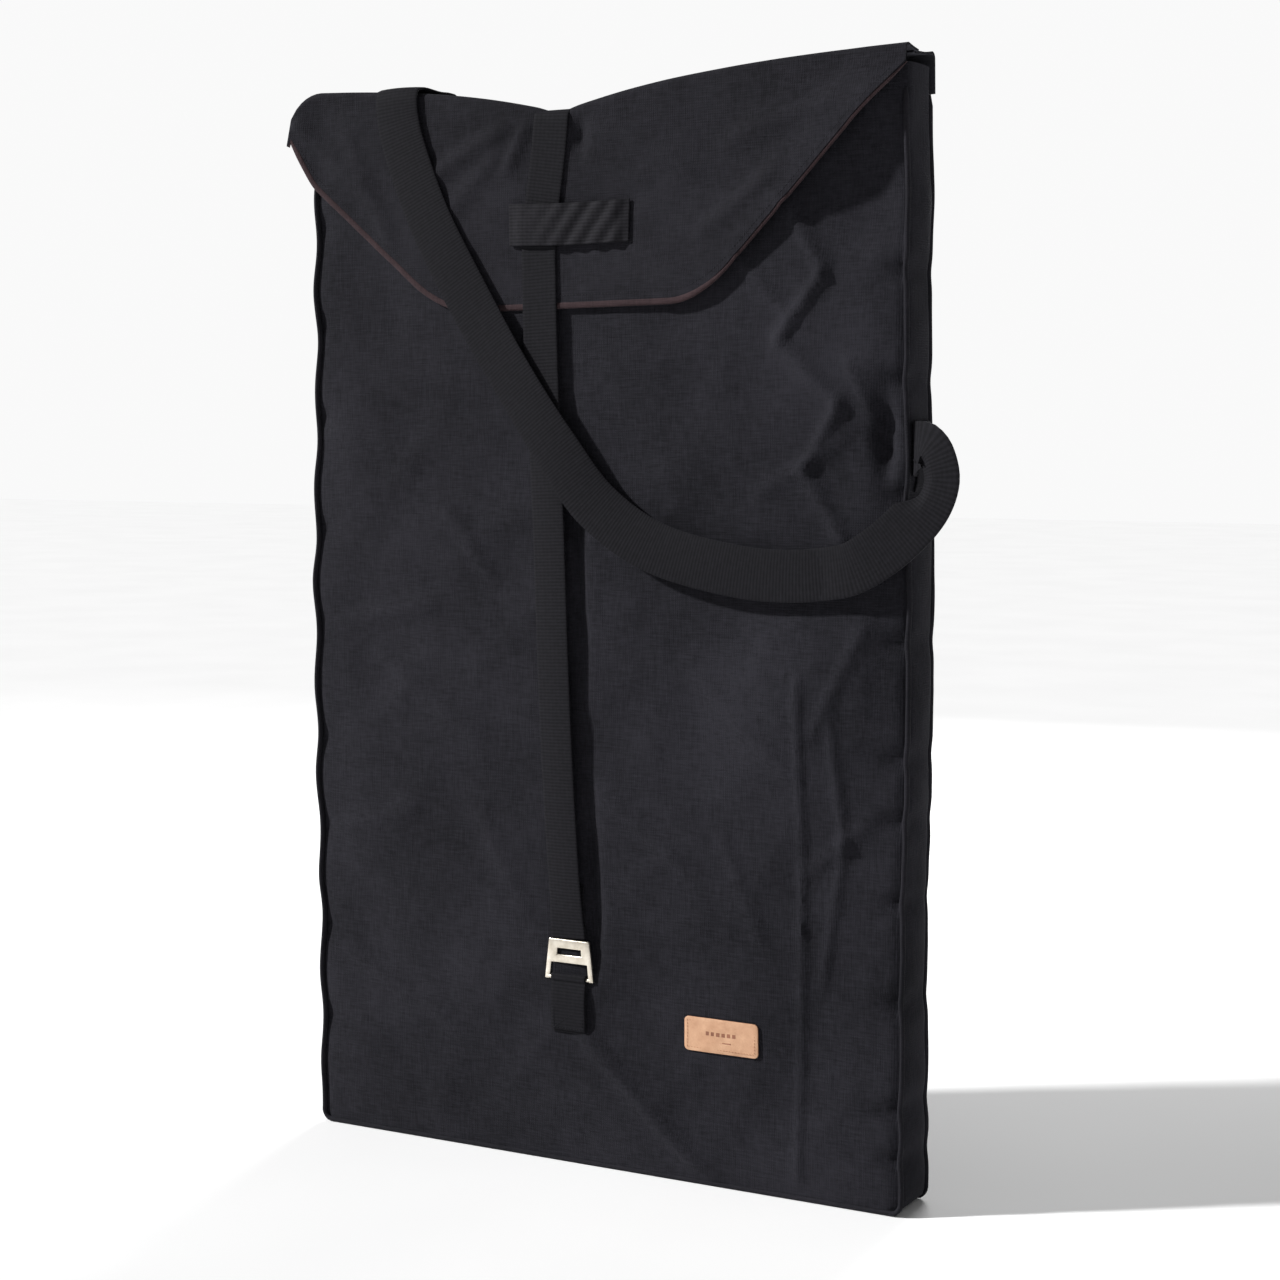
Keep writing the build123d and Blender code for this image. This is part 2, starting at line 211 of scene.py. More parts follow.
def face_away(piece, centre):
    """Turn an open cloth's faces so that they look away from the centre."""
    middle = Vector(centre)
    total = sum(face.normal.dot(face.center - middle) * face.area for face in piece.data.polygons)
    if total < 0:
        only(piece)
        start_edit()
        bpy.ops.mesh.flip_normals()
        end_edit()


def thicken(piece, thickness, offset=0.0, rounding=0.0, inner_slot=0):
    wall = piece.modifiers.new("wall", "SOLIDIFY")
    wall.thickness = thickness
    wall.offset = offset
    wall.use_even_offset = True
    wall.material_offset = inner_slot
    if rounding:
        edge = piece.modifiers.new("edge", "BEVEL")
        edge.width = rounding
        edge.segments = 2
        edge.limit_method = "ANGLE"
        edge.angle_limit = math.radians(50)
    apply_all(piece)


def smooth(piece, angle=40):
    only(piece)
    bpy.ops.object.shade_smooth_by_angle(angle=math.radians(angle))


def wear(piece, *materials):
    """Give the piece these materials, first one first."""
    piece.data.materials.clear()
    for material in materials:
        piece.data.materials.append(material)


def finish_cloth(piece, material, thickness, rounding=0.0, angle=40):
    """One material, a thickness, faces outwards and smooth shading."""
    wear(piece, material)
    thicken(piece, thickness, 0.0, rounding)
    recalculate(piece)
    smooth(piece, angle)


def belongs(piece, body, slot_name, *nodes):
    """The piece moves with the body and stands for the nodes, which it hides; slot_name is not used."""
    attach(piece, body)
    if nodes:
        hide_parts(*nodes)


def crosses(piece, fold, start, end):
    """Bake the cloth's placement into its points. The fold and the two places, given as (y, z) from the fold
    line, are not used.
    """
    start, end = [(fold[0], fold[1] + y, fold[2] + z) for y, z in (start, end)]
    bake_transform(piece)
    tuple(start)
    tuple(end)


def spline(points, t):
    """A point on the smooth curve through the given points, t from 0 to 1 along them."""
    count = len(points) - 1
    place = min(t, 1.0) * count
    i = min(int(place), count - 1)
    f = place - i
    p1, p2 = Vector(points[i]), Vector(points[i + 1])
    p0 = Vector(points[i - 1]) if i else p1 * 2 - p2
    p3 = Vector(points[i + 2]) if i + 2 <= count else p2 * 2 - p1
    return (
        p1
        + (p2 - p0) * (f * 0.5)
        + (p0 * 2 - p1 * 5 + p2 * 4 - p3) * (f * f * 0.5)
        + (p1 * 3 - p0 - p2 * 3 + p3) * (f * f * f * 0.5)
    )


def ribbon(name, points, sides, width, thickness, step_length, slack=None, gather=None):
    """Webbing whose middle follows points, with its width along the blended side directions.
    slack lifts it off that line, and gather draws in its inner half where it turns sharply."""
    samples = 200
    line = [spline(points, i / samples) for i in range(samples + 1)]
    run = [0.0]
    for a, b in zip(line, line[1:]):
        run.append(run[-1] + (b - a).length)
    length = run[-1]
    rows = max(4, round(length / step_length))

    def share_at(v):
        wanted = v * length
        i = 0
        while i < samples - 1 and run[i + 1] < wanted:
            i += 1
        part = (wanted - run[i]) / max(run[i + 1] - run[i], 1e-9)
        return (i + part) / samples

    cache = {}

    def place(u, v):
        key = round(v * rows)
        if key not in cache:
            t = share_at(v)
            middle = spline(points, t)
            ahead = spline(points, min(1.0, t + 0.004)) - spline(points, max(0.0, t - 0.004))
            side = spline(sides, t)
            side = (side - ahead * (side.dot(ahead) / ahead.length_squared)).normalized()
            cache[key] = (middle, side, side.cross(ahead).normalized())
        middle, side, out = cache[key]
        off = (u - 0.5) * width
        if gather and u > 0.5:
            off *= gather(v)
        lift = slack(u, v) if slack else 0.0
        return middle + side * off + out * lift

    piece = grid(name, 10, rows, place, (width, length))
    finish_cloth(piece, webbing, thickness, thickness * 0.28)
    return piece


# ------------------------------------------------------------------ materials
def new_material(name):
    material = bpy.data.materials.new(name)
    material.use_nodes = True
    tree = material.node_tree
    shader = next(n for n in tree.nodes if n.type == "BSDF_PRINCIPLED")
    return material, tree, shader


def node(tree, kind, inputs=None, **settings):
    made = tree.nodes.new(kind)
    for key, value in settings.items():
        setattr(made, key, value)
    for key, value in (inputs or {}).items():
        if isinstance(value, bpy.types.NodeSocket):
            tree.links.new(value, made.inputs[key])
        else:
            made.inputs[key].default_value = value
    return made


def ramp(tree, factor, *stops):
    made = node(tree, "ShaderNodeValToRGB", {"Fac": factor})
    ends = made.color_ramp.elements
    while len(ends) < len(stops):
        ends.new(0.5)
    for element, (place, colour) in zip(ends, stops):
        element.position = place
        element.color = (*colour, 1)
    return made.outputs["Color"]


def multiply(tree, a, b):
    return node(tree, "ShaderNodeMath", {0: a, 1: b}, operation="MULTIPLY").outputs[0]


def add_up(tree, a, b):
    return node(tree, "ShaderNodeMath", {0: a, 1: b}, operation="ADD").outputs[0]


def cloud(tree, where, scale, detail=2.0, roughness=0.5):
    """Fractal noise from 0 to 1."""
    inputs = {"Vector": where, "Scale": scale, "Detail": detail, "Roughness": roughness}
    return node(tree, "ShaderNodeTexNoise", inputs).outputs["Fac"]


def stripes(tree, where, way, spacing, wobble, wobble_scale):
    """Rounded ribs across one axis, about twice the spacing from ridge to ridge."""
    inputs = {"Vector": where, "Scale": 1 / spacing / 6.283, "Distortion": wobble,
              "Detail Scale": wobble_scale}
    return node(tree, "ShaderNodeTexWave", inputs, bands_direction=way).outputs["Fac"]


def emboss(tree, shader, height_map, strength, distance):
    """Fine relief, at most this distance high."""
    relief = node(tree, "ShaderNodeBump", {"Height": height_map, "Strength": strength,
                  "Distance": distance})
    tree.links.new(relief.outputs["Normal"], shader.inputs["Normal"])


def tint(tree, shader, factor, *stops):
    """Colour the surface by a factor, through a ramp of (place, colour) stops."""
    tree.links.new(ramp(tree, factor, *stops), shader.inputs["Base Color"])


def set_finish(shader, roughness, specular=None, sheen=None, sheen_roughness=0.5, sheen_tint=(1, 1, 1)):
    shader.inputs["Roughness"].default_value = roughness
    if specular is not None:
        shader.inputs["Specular IOR Level"].default_value = specular
    if sheen is not None:
        shader.inputs["Sheen Weight"].default_value = sheen
        shader.inputs["Sheen Roughness"].default_value = sheen_roughness
        shader.inputs["Sheen Tint"].default_value = (*sheen_tint, 1)


def canvas_material(name, dark, light, thread=0.0011, sheen=0.05, painted_light_spots=()):
    """Plain-woven canvas: crossing threads, slubs, a faint uneven fade and soft paler spots of painted light.
    """
    material, tree, shader = new_material(name)
    where = node(tree, "ShaderNodeTexCoord").outputs["Object"]
    fade = cloud(tree, where, 7.0, 5.0, 0.6)
    along = node(tree, "ShaderNodeMapping", {"Vector": where, "Scale": (70.0, 500.0, 700.0)})
    upward = node(tree, "ShaderNodeMapping", {"Vector": where, "Scale": (700.0, 500.0, 70.0)})
    weft_slub = cloud(tree, along.outputs[0], 1.0, 3.0)
    warp_slub = cloud(tree, upward.outputs[0], 1.0, 3.0)
    slubs = multiply(tree, add_up(tree, weft_slub, warp_slub), 0.5)
    mixed = add_up(tree, multiply(tree, fade, 0.40), multiply(tree, slubs, 0.60))
    # each spot is painted light: a soft paler patch where a bulge faces the light
    for place, radius in painted_light_spots:
        centred = node(tree, "ShaderNodeMapping", {"Vector": where, "Location": [-c / radius for c in place],
                       "Scale": (1 / radius,) * 3})
        patch = node(tree, "ShaderNodeTexGradient", {"Vector": centred.outputs[0]}, gradient_type="SPHERICAL")
        soft = node(tree, "ShaderNodeMapRange", {"Value": patch.outputs["Fac"], "To Max": 0.085},
                    interpolation_type="SMOOTHSTEP")
        mixed = add_up(tree, mixed, soft.outputs[0])
    tint(tree, shader, mixed, (0.40, dark), (0.62, light))
    set_finish(shader, 0.90, 0.14, sheen, 0.45, (0.55, 0.55, 0.65))
    warp = stripes(tree, where, "X", thread, 1.2, 6.0)
    weft = stripes(tree, where, "Z", thread, 1.2, 6.0)
    weave = multiply(tree, multiply(tree, warp, weft), 0.5)
    emboss(tree, shader, add_up(tree, weave, multiply(tree, slubs, 1.2)), 0.6, 0.7 * MM)
    return material


def webbing_material(name, dark, light, rib=0.0016):
    """Ribbed webbing: ribs across the strap, coarser strands along it and a little dust."""
    material, tree, shader = new_material(name)
    where = node(tree, "ShaderNodeTexCoord").outputs["UV"]
    ribs = stripes(tree, where, "Y", rib, 0.6, 3.0)
    strands = stripes(tree, where, "X", rib * 1.5, 0.8, 4.0)
    dust = cloud(tree, where, 180.0, 4.0, 0.65)
    tone = add_up(tree, multiply(tree, ribs, 0.35), multiply(tree, dust, 0.65))
    tint(tree, shader, tone, (0.3, dark), (0.75, light))
    set_finish(shader, 0.82, 0.10, 0.03, 0.5, (0.6, 0.6, 0.7))
    emboss(tree, shader, add_up(tree, ribs, multiply(tree, strands, 0.6)), 0.35, 0.4 * MM)
    return material


def metal_material(name):
    """Cast frame with a soft nickel finish, rubbed brighter in places."""
    material, tree, shader = new_material(name)
    where = node(tree, "ShaderNodeTexCoord").outputs["Object"]
    rub = cloud(tree, where, 90.0, 6.0, 0.6)
    tint(tree, shader, rub, (0.35, (0.60, 0.54, 0.45)), (0.7, (0.86, 0.80, 0.70)))
    shader.inputs["Metallic"].default_value = 1.0
    gloss = node(tree, "ShaderNodeMapRange", {"Value": rub, "To Min": 0.24, "To Max": 0.42})
    tree.links.new(gloss.outputs[0], shader.inputs["Roughness"])
    emboss(tree, shader, cloud(tree, where, 900.0), 0.15, 0.2 * MM)
    return material


def leather_material(name, dark, light):
    """Tanned leather: fine pores, mottled colour."""
    material, tree, shader = new_material(name)
    where = node(tree, "ShaderNodeTexCoord").outputs["Object"]
    pores = node(tree, "ShaderNodeTexVoronoi", {"Vector": where, "Scale": 900.0})
    tint(tree, shader, cloud(tree, where, 60.0, 6.0, 0.65), (0.35, dark), (0.68, light))
    set_finish(shader, 0.55)
    emboss(tree, shader, pores.outputs["Distance"], 0.3, 0.4 * MM)
    return material


def board_material(name):
    """Pressed fibre board with a mottled matt face."""
    material, tree, shader = new_material(name)
    where = node(tree, "ShaderNodeTexCoord").outputs["Object"]
    fibre = cloud(tree, where, 140.0, 5.0)
    tint(tree, shader, fibre, (0.3, (0.03, 0.03, 0.03)), (0.7, (0.07, 0.065, 0.06)))
    set_finish(shader, 0.9)
    return material


# painted light: paler spots on the front's bulges
canvas = canvas_material("charcoal_canvas", (0.0038, 0.0037, 0.0055), (0.0150, 0.0144, 0.0190), painted_light_spots=[
    ((0.150, -0.045, 0.450), 0.130), ((0.235, -0.040, 0.760), 0.080)])
# painted light: paler spots on the flap's middle and left
flap_canvas = canvas_material("flap_canvas", (0.0032, 0.0030, 0.0046), (0.0130, 0.0124, 0.0164), painted_light_spots=[
    ((0.060, -0.045, 0.930), 0.150), ((-0.110, -0.045, 0.920), 0.070)])
lining = canvas_material("lining_twill", (0.018, 0.018, 0.022), (0.032, 0.032, 0.038),
                         thread=0.0007, sheen=0.1)
tape = canvas_material("seam_tape_weave", (0.006, 0.006, 0.008), (0.014, 0.013, 0.017),
                       thread=0.0009, sheen=0.03)
webbing = webbing_material("charcoal_webbing", (0.0036, 0.0035, 0.0046), (0.0088, 0.0083, 0.0106))
keeper_web = webbing_material("keeper_webbing", (0.0062, 0.0059, 0.0073), (0.0142, 0.0134, 0.0164))
binding = canvas_material("maroon_binding", (0.0210, 0.0125, 0.0138), (0.0400, 0.0245, 0.0268),
                          thread=0.0008)
thread_dark = canvas_material("dark_thread", (0.010, 0.010, 0.012), (0.022, 0.022, 0.026), thread=0.0004)
nickel = metal_material("pale_nickel")
leather = leather_material("tan_leather", (0.40, 0.215, 0.120), (0.54, 0.320, 0.195))
leather_edge = leather_material("burnished_leather_edge", (0.30, 0.13, 0.06), (0.42, 0.20, 0.10))
stamp = leather_material("stamped_leather", (0.16, 0.06, 0.03), (0.26, 0.10, 0.05))
fibre_board = board_material("fibre_board")


# ------------------------------------------------------------------ the shape of the soft body
def top_line(x):
    """Height of the top's fold: it sags towards the closing strap."""
    away = math.sqrt((x - dip_x) ** 2 + 0.015**2) - 0.015
    low = step(-0.030, 0.0, -abs(x - dip_x) - 0.004) * 0.003
    return dip_height - low + ear_rise * (1 - math.exp(-away / 0.140))


def mouth_line(x):
    """Height of the mouth's rim, just under the flap's fold."""
    return min(height, top_line(x) - 4 * MM)


def flap_top_line(x):
    """Height of the flap's fold, with the overhanging left ear rounded off."""
    inward = min(1.0, max(0.0, (x - flap_left) / 0.036))
    return top_line(x) - 0.046 * (1 - math.sqrt(1 - (1 - inward) ** 2))


# heights of the dimples that the seam stitches pull in, down the right side and down the left
side_dimples = [0.838, 0.742, 0.640, 0.511, 0.410, 0.353, 0.281, 0.190, 0.095, 0.049]
left_dimples = [0.900, 0.805, 0.712, 0.600, 0.505, 0.392, 0.300, 0.200, 0.110]
# each crease: its two ends as (x, z), how far it stands out and how wide it is
front_creases = [
    ((0.200, 0.905), (0.238, 0.838), 0.0038, 0.009),
    ((0.238, 0.838), (0.196, 0.780), 0.0034, 0.008),
    ((0.196, 0.780), (0.256, 0.722), 0.0038, 0.009),
    ((0.256, 0.722), (0.222, 0.664), 0.0032, 0.009),
    ((0.222, 0.664), (0.262, 0.600), 0.0034, 0.010),
    ((0.219, 0.476), (0.221, 0.250), 0.0022, 0.006),
    ((0.221, 0.250), (0.216, 0.019), 0.0018, 0.006),
    ((-0.003, 0.125), (0.134, 0.000), 0.0034, 0.012),
    ((0.120, 0.470), (0.210, 0.395), 0.0020, 0.012),
    ((0.280, 0.520), (0.235, 0.430), 0.0022, 0.010),
    ((0.285, 0.350), (0.225, 0.300), 0.0020, 0.010),
    ((-0.300, 0.700), (-0.200, 0.665), 0.0018, 0.012),
    ((-0.310, 0.505), (-0.180, 0.530), 0.0016, 0.013),
    ((-0.300, 0.300), (-0.200, 0.330), 0.0016, 0.012),
    ((-0.160, 0.620), (-0.110, 0.560), 0.0018, 0.010),
    ((0.020, 0.360), (0.100, 0.300), 0.0016, 0.014),
    ((0.150, 0.860), (0.205, 0.800), 0.0022, 0.008),
    ((0.262, 0.760), (0.300, 0.690), 0.0022, 0.008),
    ((0.180, 0.645), (0.255, 0.690), 0.0020, 0.009),
    ((0.250, 0.440), (0.262, 0.330), 0.0022, 0.007),
    ((0.262, 0.330), (0.240, 0.200), 0.0018, 0.007),
    ((0.140, 0.330), (0.180, 0.240), 0.0014, 0.010),
    ((-0.240, 0.480), (-0.120, 0.400), 0.0014, 0.011),
    ((-0.280, 0.180), (-0.150, 0.120), 0.0016, 0.012),
    ((-0.120, 0.330), (-0.070, 0.240), 0.0014, 0.010),
]


# each puff or hollow of the front: its rise, the x and z of its middle, how wide and how tall
front_puffs = [
    (0.0140, 0.200, 0.455, 0.070, 0.085),
    (-0.0145, 0.282, 0.900, 0.048, 0.048),
    (-0.0150, 0.296, 0.690, 0.009, 0.032),
    (0.0040, 0.270, 0.470, 0.040, 0.120),
    (0.0030, 0.200, 0.690, 0.060, 0.090),
]


def front_swell(x, z):
    """How far the front canvas stands out from its flat plane."""
    edge = step(0, 0.045, half - abs(x)) * step(-0.01, 0.05, z)
    floor_fade = step(0.0, 0.030, z)
    swell = 0.0035 * edge * (1 - (x / half) ** 2)
    for rise, *place in front_puffs:
        swell += rise * bump(x, z, *place)
    swell += 0.0050 * edge * ripple(x + 0.35 * z, z, 7, 6, 3.1)
    swell += 0.0036 * edge * (0.4 - abs(ripple(x - 0.5 * z, z, 12, 9, 8.7)))
    swell += 0.0012 * edge * (0.4 - abs(ripple(x + 0.8 * z, z, 27, 20, 4.4)))
    swell += 0.0005 * ripple(x, z, 55, 40, 5.3)
    for start, end, rise, width in front_creases:
        swell += 1.7 * floor_fade * crease(x, z, start, end, rise, 0.70 * width)
    beside_strap = math.exp(-(((x - closing_x(z) - 0.026) / 0.008) ** 2))
    low_part = step(0.17, 0.22, z) * (1 - step(0.30, 0.40, z))
    high_part = step(0.44, 0.52, z) * (1 - step(0.60, 0.66, z))
    swell -= beside_strap * (0.0070 * low_part + 0.0050 * high_part)
    for place in side_dimples:
        swell -= 0.0065 * bump(x, z, half - 0.006, place, 0.014, 0.008)
        swell += 0.0014 * bump(x, z, half - 0.022, place + 0.020, 0.020, 0.012)
    for place in left_dimples:
        swell -= 0.0028 * bump(x, z, -half + 0.004, place, 0.020, 0.012)
    swell *= 1 - 0.75 * step(0.80, 0.86, z) * step(-0.30, 0.10, -abs(x) + 0.06)
    return max(swell, -deepest_hollow)


def on_front(x, z, out):
    """A place this far out from the front canvas."""
    return (x, front - front_swell(x, z) - out, z)


def over_label(x, z, out):
    """A place this far out from the calmer surface that the stiff leather bridges."""
    return (x, front - front_swell(x, z) * 0.9 - out, z)


def half_width(z, side):
    """Half the bag's width at height z, with puckers along the seam and round bottom corners."""
    wide = half
    if z < corner:
        wide += math.sqrt(max(0.0, corner**2 - (corner - z) ** 2)) - corner
    if side < 0:
        wide += 0.0020 * math.cos((z - 0.06) * 2 * math.pi / 0.097) * step(0.02, 0.08, z)
        wide += 0.0012 * ripple(0.3, z, 1, 26, 2.2)
    else:
        wide += 0.0012 * ripple(0.7, z, 1, 22, 6.4)
        for place in side_dimples:
            wide -= 0.0016 * bump(0, z, 0, place, 1, 0.012)
    wide += 0.004 * step(0.0, 0.25, 0.28 - abs(z - 0.5)) - 0.003 * step(0.90, 1.0, z)
    return wide


def depth(z, face_sign):
    """How far the front or back seam stands from the middle: the back sags in between base and fold."""
    if face_sign < 0:
        return -front - 0.002 * step(0.90, 1.0, z)
    return back - 0.006 * step(0.02, 0.25, z) + 0.004 * step(0.80, 1.0, z)


def side_swell(y, z, side):
    """How far a gusset stands out between its two seams."""
    middle = 1 - (y / (back * 1.02)) ** 2
    swell = 0.0035 * middle + 0.0026 * middle * ripple(y * 2, z, 8, 24, 4.4 + side)
    for place in side_dimples if side > 0 else left_dimples:
        swell -= 0.0022 * bump(y, z, -0.018, place, 0.020, 0.009)
    return swell


def back_swell(x, z):
    edge = step(0, 0.05, half - abs(x)) * step(0, 0.05, z)
    return edge * (0.0015 + 0.0016 * ripple(x, z, 6, 5, 9.9) + 0.0008 * ripple(x, z, 20, 15, 1.3))


def shell_point(around, z, reach=1.0):
    """A point of the outside, around from 0 to 4: front, right side, back, left side."""
    face = min(3, int(around))
    t = around - face
    tuck = 0.0035
    if face in (0, 2):
        share = t if face == 0 else 1 - t
        s = 2 * (share + 0.09 * math.sin(math.pi * share)) - 1  # columns are closest on the right
        side = 1 if s > 0 else -1
        x = s * half_width(z, side)
        rounded = tuck * step(0.965, 1.0, abs(s))
        if face == 0:
            y = -depth(z, -1) - front_swell(x, z) * (1 - step(0.985, 1.0, abs(s))) + rounded
        else:
            y = depth(z, 1) + back_swell(x, z) - rounded
        return Vector((x, y * reach, z))
    side = 1 if face == 1 else -1
    s = (t * 2 - 1) * side
    y = (tuck - depth(z, -1)) * (1 - s) / 2 + (depth(z, 1) - tuck) * (1 + s) / 2
    swell = side_swell(y, z, side) * (1 - step(0.8, 1.0, abs(s))) * step(0.0, 0.02, z)
    return Vector((side * (half_width(z, side) + swell), y * reach, z))


def make_shell():
    """The bag's body as one shell: a flat closed base, soft walls and an open mouth."""
    wide, deep, base_rows, rows = 118, 13, 5, 172
    columns = 2 * (wide + deep)

    def place(u, v):
        column = round(u * columns) % columns
        if column < wide:
            around = column / wide
        elif column < wide + deep:
            around = 1 + (column - wide) / deep
        elif column < 2 * wide + deep:
            around = 2 + (column - wide - deep) / wide
        else:
            around = 3 + (column - 2 * wide - deep) / deep
        row = round(v * (base_rows + rows))
        if row < base_rows:
            reach = row / base_rows
            point = shell_point(around, 0.0, reach)
            point.x *= 0.96 + 0.04 * reach
            return point
        share = ((row - base_rows) / rows) ** 1.02
        return shell_point(around, share * mouth_line(shell_point(around, 1.0).x))

    shell = grid("bag_shell", columns, base_rows + rows, place, (2 * (2 * half + back - front), height))
    wear(shell, canvas, lining)
    recalculate(shell, 0.2 * MM)
    face_away(shell, (0, 0, height / 2))
    thicken(shell, cloth, -1.0, 0.0, 1)
    smooth(shell, 60)
    belongs(shell, "bag", "canvas", "front_panel", "back_panel", "left_gusset", "right_gusset", "base_gusset")


def tube(name, points, radius, flat, material, sides=10):
    """A slim roll of tape along points, flattened by flat across the bag's depth."""
    count = len(points) - 1
    points = [Vector((x, y, max(z, radius * 1.02))) for x, y, z in points]

    def place(u, v):
        i = round(v * count)
        here = points[i]
        ahead = (points[min(count, i + 1)] - points[max(0, i - 1)]).normalized()
        side = Vector((0, 1, 0)) - ahead * ahead.y
        side.normalize()
        out = ahead.cross(side)
        angle = 2 * math.pi * u
        shrink = 0.35 + 0.65 * min(1.0, min(i, count - i) / 2)
        return here + (side * (math.cos(angle) * flat) + out * math.sin(angle)) * radius * shrink

    piece = grid(name, sides, count, place, (2 * math.pi * radius, count * 0.005))
    close_ends(piece)
    wear(piece, material)
    smooth(piece, 60)
    return piece


def make_seam(name, node_name, face_sign):
    """Folded tape round three edges of a panel; it follows every pucker."""
    inset = 1 * MM
    spacing = 5 * MM
    heights = [0.995 - spacing * i for i in range(197)]
    turns, base_steps = 8, 120
    base_y = face_sign * (depth(0, face_sign) - inset)

    def side_run(side):
        return [(side * half_width(z, side), face_sign * (depth(z, face_sign) - inset), z) for z in heights]

    def corner_run(side):
        run = []
        for i in range(turns):
            angle = math.pi / 2 * (i + 1) / (turns + 1)
            x = half - corner + corner * math.cos(angle)
            run.append((side * x, base_y, corner - corner * math.sin(angle) + inset))
        return run

    points = side_run(-1) + corner_run(-1)
    for i in range(base_steps + 1):
        x = -half + corner + (2 * half - 2 * corner) * i / base_steps
        points.append((x, base_y, 0.0018 + 0.0006 * ripple(x, 0, 30, 1, 2.0)))
    points += corner_run(1)[::-1] + side_run(1)[::-1]
    seam = tube(name, points, 2.4 * MM, 1.25, tape)
    belongs(seam, "bag", "seam_tape", node_name)


# ------------------------------------------------------------------ flap
def flap_hem(x):
    """Height of the flap's lower edge: a straight hem between two long slopes, a rounded left tip."""
    rounding = 30 * MM
    left_slope = 0.814 + (-0.160 - x) * 0.835
    right_slope = 0.820 + (x - 0.118) * 0.985
    straight = 0.8165 + 0.012 * (x + 0.02)
    low = soft_max(straight, soft_max(left_slope, right_slope, rounding), rounding)
    low += 0.026 * step(0.306, 0.345, -x)
    return min(low, flap_top_line(x) - 0.006)


# creases of the flap, most of them pulled towards the closing strap
flap_creases = [
    ((-0.064, 0.985), (-0.084, 0.945), 0.0050, 0.006),
    ((-0.090, 0.980), (-0.170, 0.940), 0.0034, 0.008),
    ((-0.100, 0.955), (-0.150, 0.905), 0.0026, 0.008),
    ((0.010, 0.980), (0.110, 0.935), 0.0034, 0.009),
    ((0.000, 0.950), (0.060, 0.925), 0.0026, 0.008),
    ((0.120, 0.880), (0.190, 0.930), 0.0030, 0.009),
    ((0.150, 0.960), (0.250, 0.990), 0.0026, 0.011),
    ((-0.330, 1.000), (-0.250, 0.930), 0.0030, 0.010),
    ((-0.270, 0.985), (-0.220, 0.880), 0.0024, 0.010),
    ((0.060, 0.860), (0.110, 0.835), 0.0024, 0.008),
]


def flap_out(x, z):
    """Depth of the flap's outer face: it lies on the front, and stands away along its right slope."""
    drop = flap_top_line(x) - z
    lying = -front + flap_gap + 0.6 * max(0.0, front_swell(x, z))
    lift = 0.013 * step(0.10, 0.315, x) * step(0.0, 0.06, drop)
    lift += 0.004 * step(0.08, 0.0, z - flap_hem(x)) * step(-0.05, 0.12, x)
    lift += 0.006 * step(0.300, 0.350, -x)
    soft = 0.0036 * ripple(x, z, 10, 8, 12.5) + 0.0016 * (0.4 - abs(ripple(x - z, z, 24, 18, 2.9)))
    for start, end, rise, width in flap_creases:
        soft += crease(x, z, start, end, rise, width)
    soft -= 0.0070 * bump(x, z, -0.010, 0.972, 0.007, 0.016)
    under_strap = 1 - 0.8 * bump(x, 0, -0.047, 0, 0.024, 1)
    return lying + lift + soft * under_strap * step(0.0, 0.02, drop)


def over_the_top(x, s, ahead):
    """A point on the way over the bag: s runs from 0 at the back face to 1 at the front face,
    which stands this far ahead of the bag's middle."""
    top = flap_top_line(x)
    rear = depth(0.98, 1) + 2.5 * MM
    quarter = math.pi / 2
    turn = round_fold
    if s < 0.25:
        angle = quarter * s / 0.25
        return Vector((x, rear - turn + turn * math.cos(angle), top - turn + turn * math.sin(angle)))
    if s > 0.75:
        angle = quarter * (s - 0.75) / 0.25
        return Vector((x, -ahead + turn - turn * math.sin(angle), top - turn + turn * math.cos(angle)))
    t = (s - 0.25) / 0.5
    y = (rear - turn) * (1 - t) + (-ahead + turn) * t
    return Vector((x, y, top - 0.0035 * math.sin(math.pi * t)))


def finish_flap(piece, node_name):
    """Give a flap cloth its two faces and its thickness, and hide the node it stands for."""
    wear(piece, flap_canvas, lining)
    face_away(piece, (0, 0, height / 2))
    thicken(piece, flap_cloth, 0.0, 0.0, 1)
    recalculate(piece)
    smooth(piece, 60)
    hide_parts(node_name)


def make_flap_rear():
    """The back panel's cloth turning over the back edge onto the lid."""

    def place(u, v):
        x = flap_left + 0.020 + (flap_right - flap_left - 0.022) * u
        ahead = flap_out(x, flap_top_line(x) - round_fold)
        if v < 0.35:
            low = over_the_top(x, 0, ahead)
            low.z -= 0.030 * (1 - v / 0.35)
            low.y += 0.001 * (1 - v / 0.35)
            return low
        share = (v - 0.35) / 0.65
        lid = over_the_top(x, share * (lid_seam + 0.06), ahead)
        lid.z -= 0.0018 * step(0.80, 0.92, share)
        return lid

    piece = grid("flap_rear_cloth", 120, 26, place, (0.67, 0.09))
    finish_flap(piece, "flap_top")
    crosses(piece, back_fold, (0.004, -0.010), (-0.012, 0.004))


def make_flap_front():
    """The flap's lid and front in one cloth, crossing the front fold."""
    fold_rows, drop_rows = 14, 44

    def place(u, v):
        x = flap_left + (flap_right - flap_left) * u
        row = round(v * (fold_rows + drop_rows))
        top = flap_top_line(x)
        start = flap_out(x, top - round_fold)
        if row <= fold_rows:
            s = lid_seam + (1 - lid_seam) * row / fold_rows
            return over_the_top(x, s, start)
        t = (row - fold_rows) / drop_rows
        z = (top - round_fold) * (1 - t) + flap_hem(x) * t
        return Vector((x, -flap_out(x, z), z))

    piece = grid("flap_front_cloth", 134, fold_rows + drop_rows, place, (0.67, 0.26))
    finish_flap(piece, "flap_front")
    crosses(piece, front_fold, (0.012, 0.002), (-0.002, -0.014))


